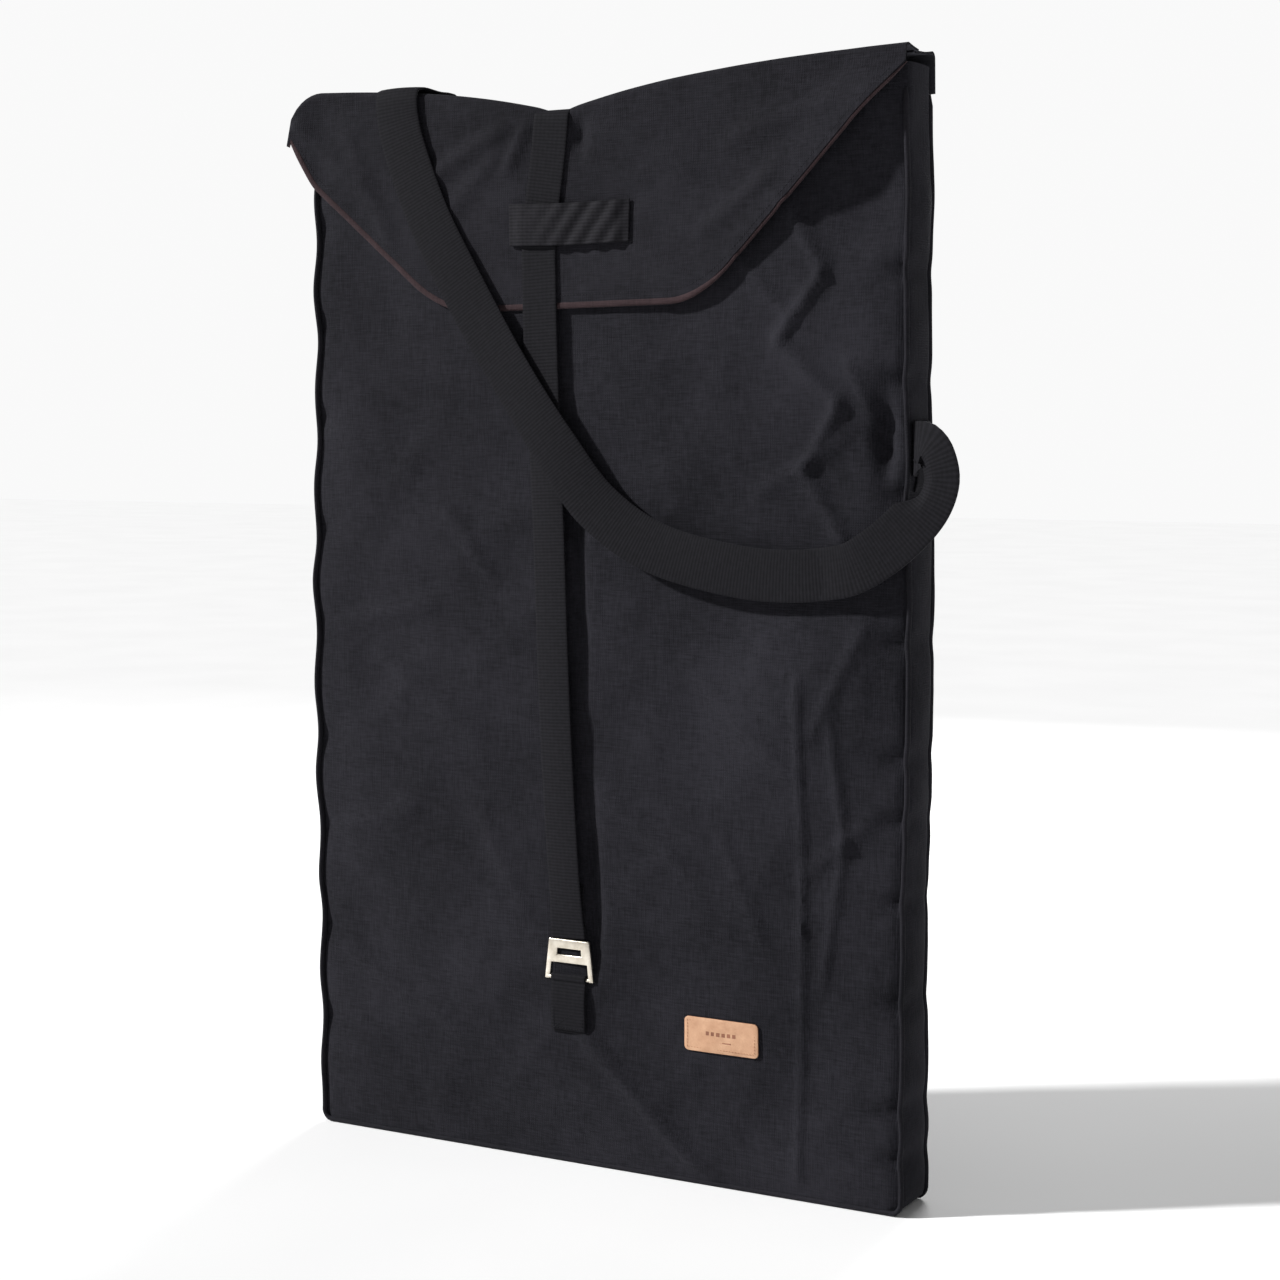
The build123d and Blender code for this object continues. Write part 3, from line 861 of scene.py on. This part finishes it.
def make_binding():
    """Maroon binding folded over the flap's free edge."""
    count = 190
    points = []
    for i in range(count + 1):
        x = flap_left + (flap_right - flap_left) * i / count
        z = flap_hem(x)
        points.append(Vector((x, -flap_out(x, z), z)))
    inward = Vector((0, 1, 0))

    def place(u, v):
        i = round(v * count)
        here = points[i]
        ahead = (points[min(count, i + 1)] - points[max(0, i - 1)]).normalized()
        out = ahead.cross(inward).normalized()
        angle = 2 * math.pi * u
        bulge = math.sin(angle)
        flat = math.copysign(abs(math.cos(angle)) ** 0.6, math.cos(angle))
        rolled = step(0.100, 0.160, here.x)
        ends = 0.3 + 0.7 * min(1.0, min(i, count - i) / 4)
        wide = (3.1 * MM - 1.6 * MM * rolled) * ends
        tuck = 1.8 * MM - 0.6 * MM * rolled
        thick = bulge * 1.9 * MM * ends
        return here + inward * (thick + 0.0016 * rolled) + out * (flat * wide - tuck)

    piece = grid("flap_binding_maroon", 12, count, place, (0.010, 0.9))
    close_ends(piece)
    wear(piece, binding)
    smooth(piece, 60)
    belongs(piece, "flap_face", "binding", "flap_binding")


def make_keeper():
    """Short webbing handle, puffed between its two sewn ends, with slanting pull lines."""
    wide = keeper_high.x - keeper_low.x
    tall = keeper_high.z - keeper_low.z

    def place(u, v):
        x = keeper_low.x + wide * u
        z = keeper_low.z + tall * v
        ends = step(0.0, 0.13, u) * (1 - step(0.87, 1.0, u))
        out = flap_out(x, z) + 0.0032 + 0.0040 * ends
        slant = math.sin((x - 0.75 * z) * 2 * math.pi / 0.021)
        out += 0.0011 * slant * ends * step(-0.02, 0.04, x + 0.05)
        out += 0.0010 * math.sin(math.pi * v) * ends
        sag = 0.0015 * math.sin(math.pi * u)
        return Vector((x, -out, z - sag))

    piece = grid("keeper_handle_web", 60, 18, place, (wide, tall))
    finish_cloth(piece, keeper_web, strap_thick, 0.6 * MM, 50)
    belongs(piece, "flap_face", "webbing", "keeper_handle")


# ------------------------------------------------------------------ closing strap
def closing_x(z):
    """Middle of the closing strap at height z: it leans left on the flap and right below it."""
    turn_z, end_z = 0.86, 0.2165
    if z > turn_z:
        return -0.039 - 0.014 * step(1.0, turn_z, z)
    return -0.053 + 0.030 * (turn_z - z) / (turn_z - end_z)


strap_x = closing_x(1.0)
strap_top = top_line(strap_x)
strap_over = strap_top + 2.2 * MM
strap_end_z = tail_low.z + 1 * MM
sideways = (1, 0, 0)


def strap_on_flap(z):
    """Depth of the closing strap's middle where it lies on the flap."""
    return -(flap_out(closing_x(z), z) + 2.6 * MM)


def make_strap_rear():
    """The closing strap from its sewn end on the back, up and over the lid."""
    rear = depth(0.98, 1) + 5.2 * MM
    points = [
        (strap_x, rear, 0.945), (strap_x, rear, 0.965), (strap_x, rear + 0.0003, strap_top - 0.008),
        (strap_x, rear - 0.0030, strap_top + 0.0012), (strap_x, rear - 0.012, strap_over),
        (strap_x, 0.006, strap_over - 0.002), (strap_x, -0.004, strap_over - 0.002)]
    run = ribbon("closing_strap_rear_web", points, [sideways] * 7, strap_width, strap_thick, 4 * MM)
    crosses(run, back_fold, (0.006, -0.022), (-0.014, 0.0))
    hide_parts("closing_strap_back", "closing_strap_top")


def make_strap_front():
    """Its run over the front fold and down the flap."""
    ahead = strap_on_flap(strap_top - 0.010)
    points = [
        (strap_x, -0.004, strap_over - 0.002), (strap_x, -0.016, strap_over),
        (strap_x, ahead + 0.008, strap_over), (strap_x, ahead + 0.0012, strap_top - 0.0015)]
    for z in (strap_top - 0.012, 0.965, 0.945, 0.925, 0.905, 0.885):
        points.append((closing_x(z), strap_on_flap(z), z))
    sides = [sideways] * 5 + [(1, 0, 0.10)] * 5
    run = ribbon("closing_strap_flap_web", points, sides, strap_width, strap_thick, 4 * MM)
    crosses(run, front_fold, (0.014, -0.010), (-0.004, -0.036))
    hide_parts("closing_strap_front")


def make_strap_tail():
    """Its loose run from the flap's edge down to the buckle, with one edge curling out."""
    points = [(closing_x(z), strap_on_flap(z), z) for z in (0.893, 0.880, 0.860, 0.840)]
    points.append((closing_x(0.812), strap_on_flap(0.83) - 0.001, 0.812))
    hanging = [(0.740, -0.0430), (0.670, -0.0430), (0.600, -0.0430), (0.500, -0.0450), (0.400, -0.0455),
               (0.300, -0.0430), (0.250, bar_y - 0.0030), (strap_end_z, bar_y)]
    points += [(closing_x(z), y, z) for z, y in hanging]

    def curl(u, v):
        lifted = step(0.20, 0.34, v) * (1 - step(0.93, 1.0, v))
        return lifted * (0.0014 * (u - 0.5) ** 2 * 4 - 0.0050 * (u - 0.5))

    sides = [sideways] * 2 + [(1, -0.02, 0.06)] * (len(points) - 2)
    run = ribbon("closing_strap_loose_web", points, sides, strap_width, strap_thick, 6 * MM, curl)
    crosses(run, strap_hinge, (0.0, 0.040), (0.0, -0.040))
    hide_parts("closing_strap_tail")


def make_turned_end():
    """The strap's end, turned up behind itself below the buckle's bar."""
    places = [(0.268, bar_y + 0.0018), (0.250, bar_y + 0.0014), (strap_end_z + 0.002, bar_y + 0.0024)]
    points = [(closing_x(z), y, z) for z, y in places]
    sides = [(1, 0, 0.06)] * 3
    run = ribbon("closing_strap_turned_end", points, sides, strap_width - 1 * MM, strap_thick, 4 * MM)
    belongs(run, "closing_tail", "webbing", "closing_strap_doubled_end")


# ------------------------------------------------------------------ buckle and anchor
def cut_buckle_plate():
    """Flat outline like a flat-topped A, with a window between the legs and a slot under the top bar."""
    wide_foot = buckle_high.x - buckle_low.x
    tall = buckle_high.z - buckle_low.z
    top_share = 44 / 53  # width at the top against the width at the feet
    cuts_across = [0.10, 0.22, 0.78, 0.90]
    cuts_up = [0.10, 0.415, 0.615, 0.77]
    deselect()
    middle = (buckle_x, bar_y, (buckle_low.z + buckle_high.z) / 2)
    bpy.ops.mesh.primitive_plane_add(size=1, location=middle, rotation=(math.pi / 2, 0, 0))
    piece = named("buckle_cast_frame")
    bpy.ops.transform.resize(value=(wide_foot, 1, tall))
    bpy.ops.object.transform_apply(location=True, rotation=True, scale=True)
    cuts = [((buckle_low.x + share * wide_foot, bar_y, 0), (1, 0, 0)) for share in cuts_across]
    cuts += [((0, bar_y, buckle_low.z + share * tall), (0, 0, 1)) for share in cuts_up]
    bpy.ops.object.mode_set(mode="EDIT")
    for place, way in cuts:
        bpy.ops.mesh.select_all(action="SELECT")
        bpy.ops.mesh.bisect(plane_co=place, plane_no=way)
    bpy.ops.mesh.select_mode(type="FACE")
    bpy.ops.mesh.select_all(action="DESELECT")
    end_edit()
    for face in piece.data.polygons:
        share = (face.center.x - buckle_low.x) / wide_foot
        up = (face.center.z - buckle_low.z) / tall
        window = up < cuts_up[1] and cuts_across[0] < share < cuts_across[3]
        slot_hole = cuts_up[2] < up < cuts_up[3] and cuts_across[1] < share < cuts_across[2]
        face.select = window or slot_hole
    bpy.ops.object.mode_set(mode="EDIT")
    bpy.ops.mesh.delete(type="FACE")
    bpy.ops.mesh.select_mode(type="VERT")
    for share in [*cuts_up, 1.0]:
        bpy.ops.mesh.select_all(action="DESELECT")
        end_edit()
        for point in piece.data.vertices:
            point.select = abs(point.co.z - buckle_low.z - share * tall) < 0.2 * MM
        bpy.ops.object.mode_set(mode="EDIT")
        narrower = 1 - (1 - top_share) * share
        bpy.ops.transform.resize(value=(narrower, 1, 1), center_override=(buckle_x, bar_y, 0))
    end_edit()
    return piece


def make_buckle_bar():
    """Round bottom bar with eased ends."""
    deselect()
    long = buckle_high.x - buckle_low.x - 4 * MM
    bpy.ops.mesh.primitive_cylinder_add(vertices=24, radius=2 * MM, depth=long,
                                        location=(buckle_x, bar_y, bar_z), rotation=(0, math.pi / 2, 0))
    bar = bpy.context.object
    start_edit("DESELECT")
    bpy.ops.mesh.select_mode(type="FACE")
    end_edit()
    for face in bar.data.polygons:
        face.select = abs(face.normal.z) > 0.9
    bpy.ops.object.mode_set(mode="EDIT")
    bpy.ops.mesh.inset(thickness=0.5 * MM)
    end_edit()
    bpy.ops.object.transform_apply(location=True, rotation=True, scale=True)
    return bar


def make_buckle():
    """Cast frame: two legs, a thick top bar and a middle bar, joined below by the round bar."""
    piece = cut_buckle_plate()
    wall = piece.modifiers.new("wall", "SOLIDIFY")
    wall.thickness = 3.6 * MM
    wall.offset = 0
    edge = piece.modifiers.new("edge", "BEVEL")
    edge.width = 1.1 * MM
    edge.segments = 3
    edge.limit_method = "ANGLE"
    apply_all(piece)
    recalculate(piece)
    bar = make_buckle_bar()
    bar.select_set(True)
    piece.select_set(True)
    bpy.context.view_layer.objects.active = piece
    bpy.ops.object.join()
    wear(piece, nickel)
    smooth(piece, 50)
    belongs(piece, "buckle", "buckle_metal", "buckle_frame")


def make_anchor():
    """Webbing that comes up off the front, turns round the buckle's bottom bar and is sewn down again."""
    ring = 3.4 * MM
    low = anchor_low.z

    def run(*places):
        return [(buckle_x, on_front(buckle_x, level, out)[1], z) for level, out, z in places]

    points = run((low, 0.0012, low), (0.145, 0.0012, 0.145), (0.160, 0.0012, 0.162))
    for i in range(9):
        angle = math.radians(-60 + 300 * i / 8)
        points.append((buckle_x, bar_y + ring * math.cos(angle), bar_z + ring * math.sin(angle)))
    points += run((0.155, 0.0036, 0.160), (0.145, 0.0034, 0.145), (0.135, 0.0034, low + 0.003))
    sides = [sideways] * len(points)
    piece = ribbon("buckle_anchor_web", points, sides, strap_width, strap_thick * 0.9, 0.0015)
    belongs(piece, "bag", "webbing", "buckle_anchor_strap")


def make_label():
    """Leather tab with round corners, a burnished edge and a plain stamped row of dashes."""
    wide = label_high.x - label_low.x
    tall = label_high.z - label_low.z
    deselect()
    bpy.ops.mesh.primitive_grid_add(x_subdivisions=24, y_subdivisions=10, size=1)
    piece = named("leather_label_tab")
    radius = 0.0045
    for point in piece.data.vertices:
        x, z = point.co.x * wide, point.co.y * tall
        past_x = max(0.0, abs(x) - (wide / 2 - radius))
        past_z = max(0.0, abs(z) - (tall / 2 - radius))
        reach = math.hypot(past_x, past_z)
        if reach > radius:
            x -= math.copysign(past_x * (1 - radius / reach), x)
            z -= math.copysign(past_z * (1 - radius / reach), z)
        point.co = over_label(label_x + x, label_z + z, label_gap)
    wear(piece, leather, leather_edge)
    thicken(piece, label_thick, 0.0, 0.4 * MM)
    recalculate(piece)
    for face in piece.data.polygons:
        if abs(face.normal.y) < 0.7:
            face.material_index = 1
    smooth(piece, 50)
    belongs(piece, "bag", "leather", "leather_label")


def make_stamp():
    """The stamped mark: a plain row of short bars, with one long bar below."""
    bars = [(-0.0135 + 0.0054 * i, 0.0020, 0.0034, 0.0036) for i in range(6)]
    bars.append((0.004, -0.0055, 0.0130, 0.0009))
    made = []
    for x, z, wide, tall in bars:
        deselect()
        at = over_label(label_x + x, label_z + z, label_gap + label_thick / 2 + 0.02 * MM)
        bpy.ops.mesh.primitive_cube_add(size=1, location=at, scale=(wide, 0.0002, tall))
        bar = bpy.context.object
        bpy.ops.object.transform_apply(location=True, rotation=True, scale=True)
        start_edit()
        bpy.ops.mesh.bevel(offset=0.00008, segments=1)
        end_edit()
        made.append(bar)
    deselect()
    for bar in made:
        bar.select_set(True)
    bpy.context.view_layer.objects.active = made[0]
    bpy.ops.object.join()
    piece = bpy.context.object
    piece.name = "label_stamped_bars"
    wear(piece, stamp)
    belongs(piece, "bag", "leather")


# ------------------------------------------------------------------ shoulder strap
def make_long_web():
    """Wide webbing from the left side behind the bag, over the top and down across the front."""
    top = top_line(over_x)
    rear = depth(1.0, 1) + 8.5 * MM
    points = [
        (-0.3248, 0.004, anchor_z - 0.018), (-0.3252, 0.016, anchor_z - 0.006),
        (-0.3215, 0.0315, anchor_z + 0.014), (-0.306, rear + 0.001, anchor_z + 0.036),
        (-0.282, rear, 0.756), (-0.252, rear, 0.830), (-0.228, rear, 0.915), (over_x - 0.004, rear, 0.985),
        (over_x, rear - 0.003, top + 0.0005), (over_x, rear - 0.016, top + 0.0052),
        (over_x, 0.0, top + 0.0045), (over_x, -0.030, top + 0.0052),
        (over_x, -0.0415, top - 0.0020), (over_x + 0.003, -0.0435, top - 0.030)]
    front_run = [(-0.196, 0.955), (-0.169, 0.894), (-0.122, 0.815), (-0.073, 0.742), (-0.028, 0.680),
                 (0.014, 0.629), (0.074, 0.592), (0.154, 0.573), (0.218, 0.5695), (0.270, 0.5760)]
    outs = [-0.0440, -0.0450, -0.0465, -0.0490, -0.0495, -0.0485, -0.0485, -0.0490, -0.0490, -0.0452]
    points += [(x, y, z) for (x, z), y in zip(front_run, outs)]
    sides = [(0, 0.8, -0.6), (0, 0.8, -0.6), (0.5, 0.6, -0.5), (0.9, 0.15, -0.35)]
    sides += [(1, 0, 0.3)] * 4 + [(1, 0, 0)] * 6
    last = len(front_run) - 1
    for i in range(last + 1):
        x0, z0 = front_run[max(0, i - 1)]
        x1, z1 = front_run[min(last, i + 1)]
        lean = 0.13 * step(2, 6, i) * math.hypot(z1 - z0, x1 - x0)
        sides.append((-(z1 - z0), lean, x1 - x0))
    sides = [Vector(side).normalized() for side in sides]

    def slack(u, v):
        edge = (u - 0.5) * 2
        return 0.0012 * edge * edge + 0.0018 * math.sin(v * 26) * edge * step(0.48, 0.62, v)

    run = ribbon("shoulder_strap_long_web", points, sides, shoulder_width, shoulder_thick, 6 * MM, slack)
    belongs(run, "shoulder_strap", "webbing",
            "shoulder_strap_front", "shoulder_strap_over_top", "shoulder_strap_back")


def make_side_web():
    """The same webbing's other end: up, twisted and gathered round the edge to the right side."""
    loop = [
        (0.226, -0.0456, 0.5700), (0.258, -0.0484, 0.5740), (0.276, -0.0488, 0.5795),
        (0.298, -0.0474, 0.5930), (0.3220, -0.0460, 0.6130), (0.3390, -0.0435, 0.6340),
        (0.3460, -0.0415, 0.6550), (0.3420, -0.0395, 0.6730), (0.3345, -0.0360, 0.6825),
        (0.3255, -0.0300, 0.6835), (0.3205, -0.0235, 0.6825), (0.3195, -0.0120, 0.6815),
        (0.3193, 0.0070, 0.6810)]
    sides = [
        (-0.06, 0.13, 1), (-0.18, 0.13, 1), (-0.34, 0.08, 1), (-0.65, 0, 1), (-0.75, 0, 0.8),
        (-1, 0, 0.6), (-1, 0, 0.05), (-1, 0, -0.4), (-0.5, 0, -1), (-0.1, 0, -1)]
    sides += [(0, 0, -1)] * 3
    sides = [Vector(side).normalized() for side in sides]

    def turning(v):
        return step(0.47, 0.60, v) * (1 - step(0.75, 0.84, v))

    def pinched(u, v):
        return 0.006 * step(0.55, 1.0, u) * turning(v)

    def gathered(v):
        return 1 - 0.55 * turning(v)

    turn = ribbon("shoulder_strap_side_web", loop, sides, shoulder_width, shoulder_thick, 3.5 * MM,
                  pinched, gathered)
    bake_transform(turn)
    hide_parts("shoulder_strap_sewn_end", "shoulder_strap_side_loop")


def make_patch(name, node_name, side):
    """Canvas patch under a sewn strap end, with its edges turned under."""
    low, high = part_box(node_name)

    def place(u, v):
        y = low.y + (high.y - low.y) * u
        z = low.z + (high.z - low.z) * v
        out = half_width(z, side) + side_swell(y, z, side) + 0.0016
        return Vector((side * out, y, z))

    piece = grid(name, 12, 18, place, (high.y - low.y, high.z - low.z))
    finish_cloth(piece, tape, 1.6 * MM, 0.4 * MM)
    belongs(piece, "bag", "seam_tape", node_name)


# ------------------------------------------------------------------ inside
def make_inner_straps():
    """The hanger's eye and the garment strap, both sewn to the inside of the back."""
    inner_back = back - 4.5 * MM
    tape_thick = 1.6 * MM
    low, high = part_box("hanger_loop")
    middle = (low.z + high.z) / 2
    tall = high.z - low.z
    arch = [(1 / 2, 0.001), (0.38, 0.0035), (0.22, 0.0095), (0, 0.0105),
            (-0.22, 0.0095), (-0.38, 0.0035), (-1 / 2, 0.001)]
    eye = [(0, inner_back - out, middle + tall * share) for share, out in arch]
    loop = ribbon("hanger_eye_web", eye, [sideways] * 7, high.x - low.x, tape_thick, 3 * MM)
    low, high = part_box("garment_strap")
    wide = high.x - low.x
    middle = (low.z + high.z) / 2
    hold = [(low.x, inner_back - 0.001, middle), (low.x + 0.012, inner_back - 0.0045, middle)]
    for i in range(1, 8):
        share = i / 8
        hold.append((low.x + wide * share, inner_back - 0.0085, middle - 0.006 * math.sin(math.pi * share)))
    hold += [(high.x - 0.012, inner_back - 0.0045, middle), (high.x, inner_back - 0.001, middle)]
    strap = ribbon("garment_hold_web", hold, [(0, 0, 1)] * len(hold), high.z - low.z, tape_thick, 6 * MM)
    for piece, name in ((loop, "hanger_loop"), (strap, "garment_strap")):
        belongs(piece, "bag", "webbing", name)


def make_hem():
    """The mouth's turned hem, inside the front's top edge."""
    tall = 30 * MM

    def place(u, v):
        x = (u * 2 - 1) * (half - 12 * MM)
        z = mouth_line(x) + 1.2 * MM - tall * (1 - v)
        return Vector((x, -depth(z, -1) + cloth + 1.2 * MM - front_swell(x, z) * 0.6, z))

    hem = grid("mouth_turned_hem", 100, 6, place, (2 * half, tall))
    finish_cloth(hem, tape, 1.2 * MM)
    belongs(hem, "bag", "canvas", "mouth_hem")


def finish_board():
    """The base board keeps its shape and gets its finish."""
    wear(frame["nodes"]["base_board"], fibre_board)


# ------------------------------------------------------------------ stitching
def stitch_row(name, body, places, outward, pitch, material, slot_name):
    """Thread stitches along a line of places; outward is the way out of the cloth."""
    deselect()
    bpy.ops.mesh.primitive_ico_sphere_add(subdivisions=1, radius=1)
    bead = bpy.context.object
    start_edit()
    bpy.ops.transform.resize(value=(pitch * 0.33, 0.00032, 0.00028))
    bpy.ops.mesh.faces_shade_smooth()
    end_edit()
    run = [0.0]
    for a, b in zip(places, places[1:]):
        run.append(run[-1] + (Vector(b) - Vector(a)).length)
    made = []
    at, i = pitch / 2, 0
    while at < run[-1]:
        while run[i + 1] < at:
            i += 1
        a, b = Vector(places[i]), Vector(places[i + 1])
        here = a.lerp(b, (at - run[i]) / (run[i + 1] - run[i]))
        ahead = (b - a).normalized()
        side = outward.cross(ahead).normalized()
        stitch = bead.copy()
        stitch.data = bead.data.copy()
        bpy.context.scene.collection.objects.link(stitch)
        turned = Matrix((ahead, side, ahead.cross(side))).transposed().to_4x4()
        stitch.matrix_basis = Matrix.Translation(here) @ turned
        made.append(stitch)
        at += pitch
    bpy.data.objects.remove(bead)
    deselect()
    for stitch in made:
        stitch.select_set(True)
    bpy.context.view_layer.objects.active = made[0]
    bpy.ops.object.join()
    bpy.ops.object.transform_apply(location=True, rotation=True, scale=True)
    piece = named(name)
    wear(piece, material)
    belongs(piece, body, slot_name)


def make_stitching():
    outward = Vector((0, -1, 0))

    def on_flap(x, z, gap=0.0012):
        return (x, -flap_out(x, z) - gap, z)

    row = []
    for i in range(120):
        x = flap_left + 0.012 + (flap_right - flap_left - 0.024) * i / 119
        row.append(on_flap(x, min(flap_hem(x) + 0.0075, top_line(x) - 0.010)))
    stitch_row("flap_edge_stitching", "flap_face", row, outward, 3.5 * MM, thread_dark, "canvas")
    box = []
    inset = 0.003
    for x, z in ((-1, 0), (1, 0), (1, 1), (-1, 1), (-1, 0), (1, 1)):
        at_x = buckle_x + x * (strap_width / 2 - inset)
        box.append(on_front(at_x, anchor_low.z + 0.005 + z * 0.022, 4.6 * MM))
    stitch_row("anchor_box_stitching", "bag", box, outward, stitch_pitch, thread_dark, "webbing")
    row = []
    for sx, sz in ((-1, -1), (1, -1), (1, 1), (-1, 1), (-1, -1)):
        level = over_label(label_x + sx * 0.03, label_z, 2.7 * MM)[1]
        row.append((label_x + sx * 0.0345, level, label_z + sz * 0.0125))
    stitch_row("label_edge_stitching", "bag", row, outward, stitch_pitch, leather_edge, "leather")


# ------------------------------------------------------------------ build
make_shell()
make_seam("front_seam_roll", "front_seam_tape", -1)
make_seam("back_seam_roll", "back_seam_tape", 1)
make_flap_rear()
make_flap_front()
make_binding()
make_keeper()
make_strap_rear()
make_strap_front()
make_strap_tail()
make_turned_end()
make_buckle()
make_anchor()
make_label()
make_stamp()
make_long_web()
make_side_web()
make_patch("right_anchor_patch", "right_strap_patch", 1)
make_patch("left_anchor_patch", "left_strap_patch", -1)
make_inner_straps()
make_hem()
finish_board()
make_stitching()


# ------------------------------------------------------------------ stage, light and camera
def make_stage():
    deselect()
    bpy.ops.mesh.primitive_plane_add(size=30, location=(0, 0, -0.0005))
    floor = bpy.context.object
    floor.name = "studio_floor"
    material, tree, shader = new_material("pale_floor")
    where = node(tree, "ShaderNodeTexCoord").outputs["Object"]
    tint(tree, shader, cloud(tree, where, 3.0), (0.3, (0.93, 0.93, 0.93)), (0.7, (0.96, 0.96, 0.96)))
    set_finish(shader, 0.7)
    wear(floor, material)
    world = bpy.data.worlds.new("studio")
    world.use_nodes = True
    backdrop = next(n for n in world.node_tree.nodes if n.type == "BACKGROUND")
    backdrop.inputs["Color"].default_value = (1, 1, 1, 1)
    rays = world.node_tree.nodes.new("ShaderNodeLightPath")
    glow = world.node_tree.nodes.new("ShaderNodeMapRange")
    glow.inputs["To Min"].default_value = 0.16
    glow.inputs["To Max"].default_value = 0.95
    world.node_tree.links.new(rays.outputs["Is Camera Ray"], glow.inputs["Value"])
    world.node_tree.links.new(glow.outputs[0], backdrop.inputs["Strength"])
    bpy.context.scene.world = world
    bpy.context.scene.view_settings.view_transform = "Standard"


def make_key_light():
    """One strong light from the left, in front and above, with slightly soft shadows."""
    data = bpy.data.lights.new("key_light", "SUN")
    data.energy = 5.4
    data.angle = math.radians(4)
    lamp = bpy.data.objects.new("key_light", data)
    bpy.context.scene.collection.objects.link(lamp)
    lamp.rotation_euler = Vector((2.5, 1.75, -1.9)).to_track_quat("-Z", "Y").to_euler()


def softbox(name, place, aim, size, power):
    data = bpy.data.lights.new(name, "AREA")
    data.shape = "RECTANGLE"
    data.size, data.size_y = size
    data.energy = power
    lamp = bpy.data.objects.new(name, data)
    bpy.context.scene.collection.objects.link(lamp)
    lamp.location = place
    lamp.rotation_euler = (Vector(aim) - Vector(place)).to_track_quat("-Z", "Y").to_euler()


def make_camera():
    """Long lens, thirty degrees round to the right, a little above the middle of the bag."""
    data = bpy.data.cameras.new("studio_camera")
    data.lens = 68.1
    data.sensor_width = 36
    data.shift_y = -0.05
    camera = bpy.data.objects.new("studio_camera", data)
    bpy.context.scene.collection.objects.link(camera)
    round_right = math.radians(30)
    distance = 2.265
    eye_height = 0.705
    camera.location = (
        distance * math.sin(round_right), front - distance * math.cos(round_right), eye_height)
    turn = round_right - math.radians(1.12)
    pitch = math.radians(3.61)
    camera.rotation_euler = (math.pi / 2 - pitch, 0, turn)
    bpy.context.scene.camera = camera


make_stage()
make_key_light()
softbox("fill_light", (2.4, -1.6, 1.5), (0, 0, 0.5), (1.6, 1.6), 6)
softbox("rim_light", (-0.4, 2.8, 1.8), (0, 0, 0.6), (1.4, 1.4), 55)
make_camera()
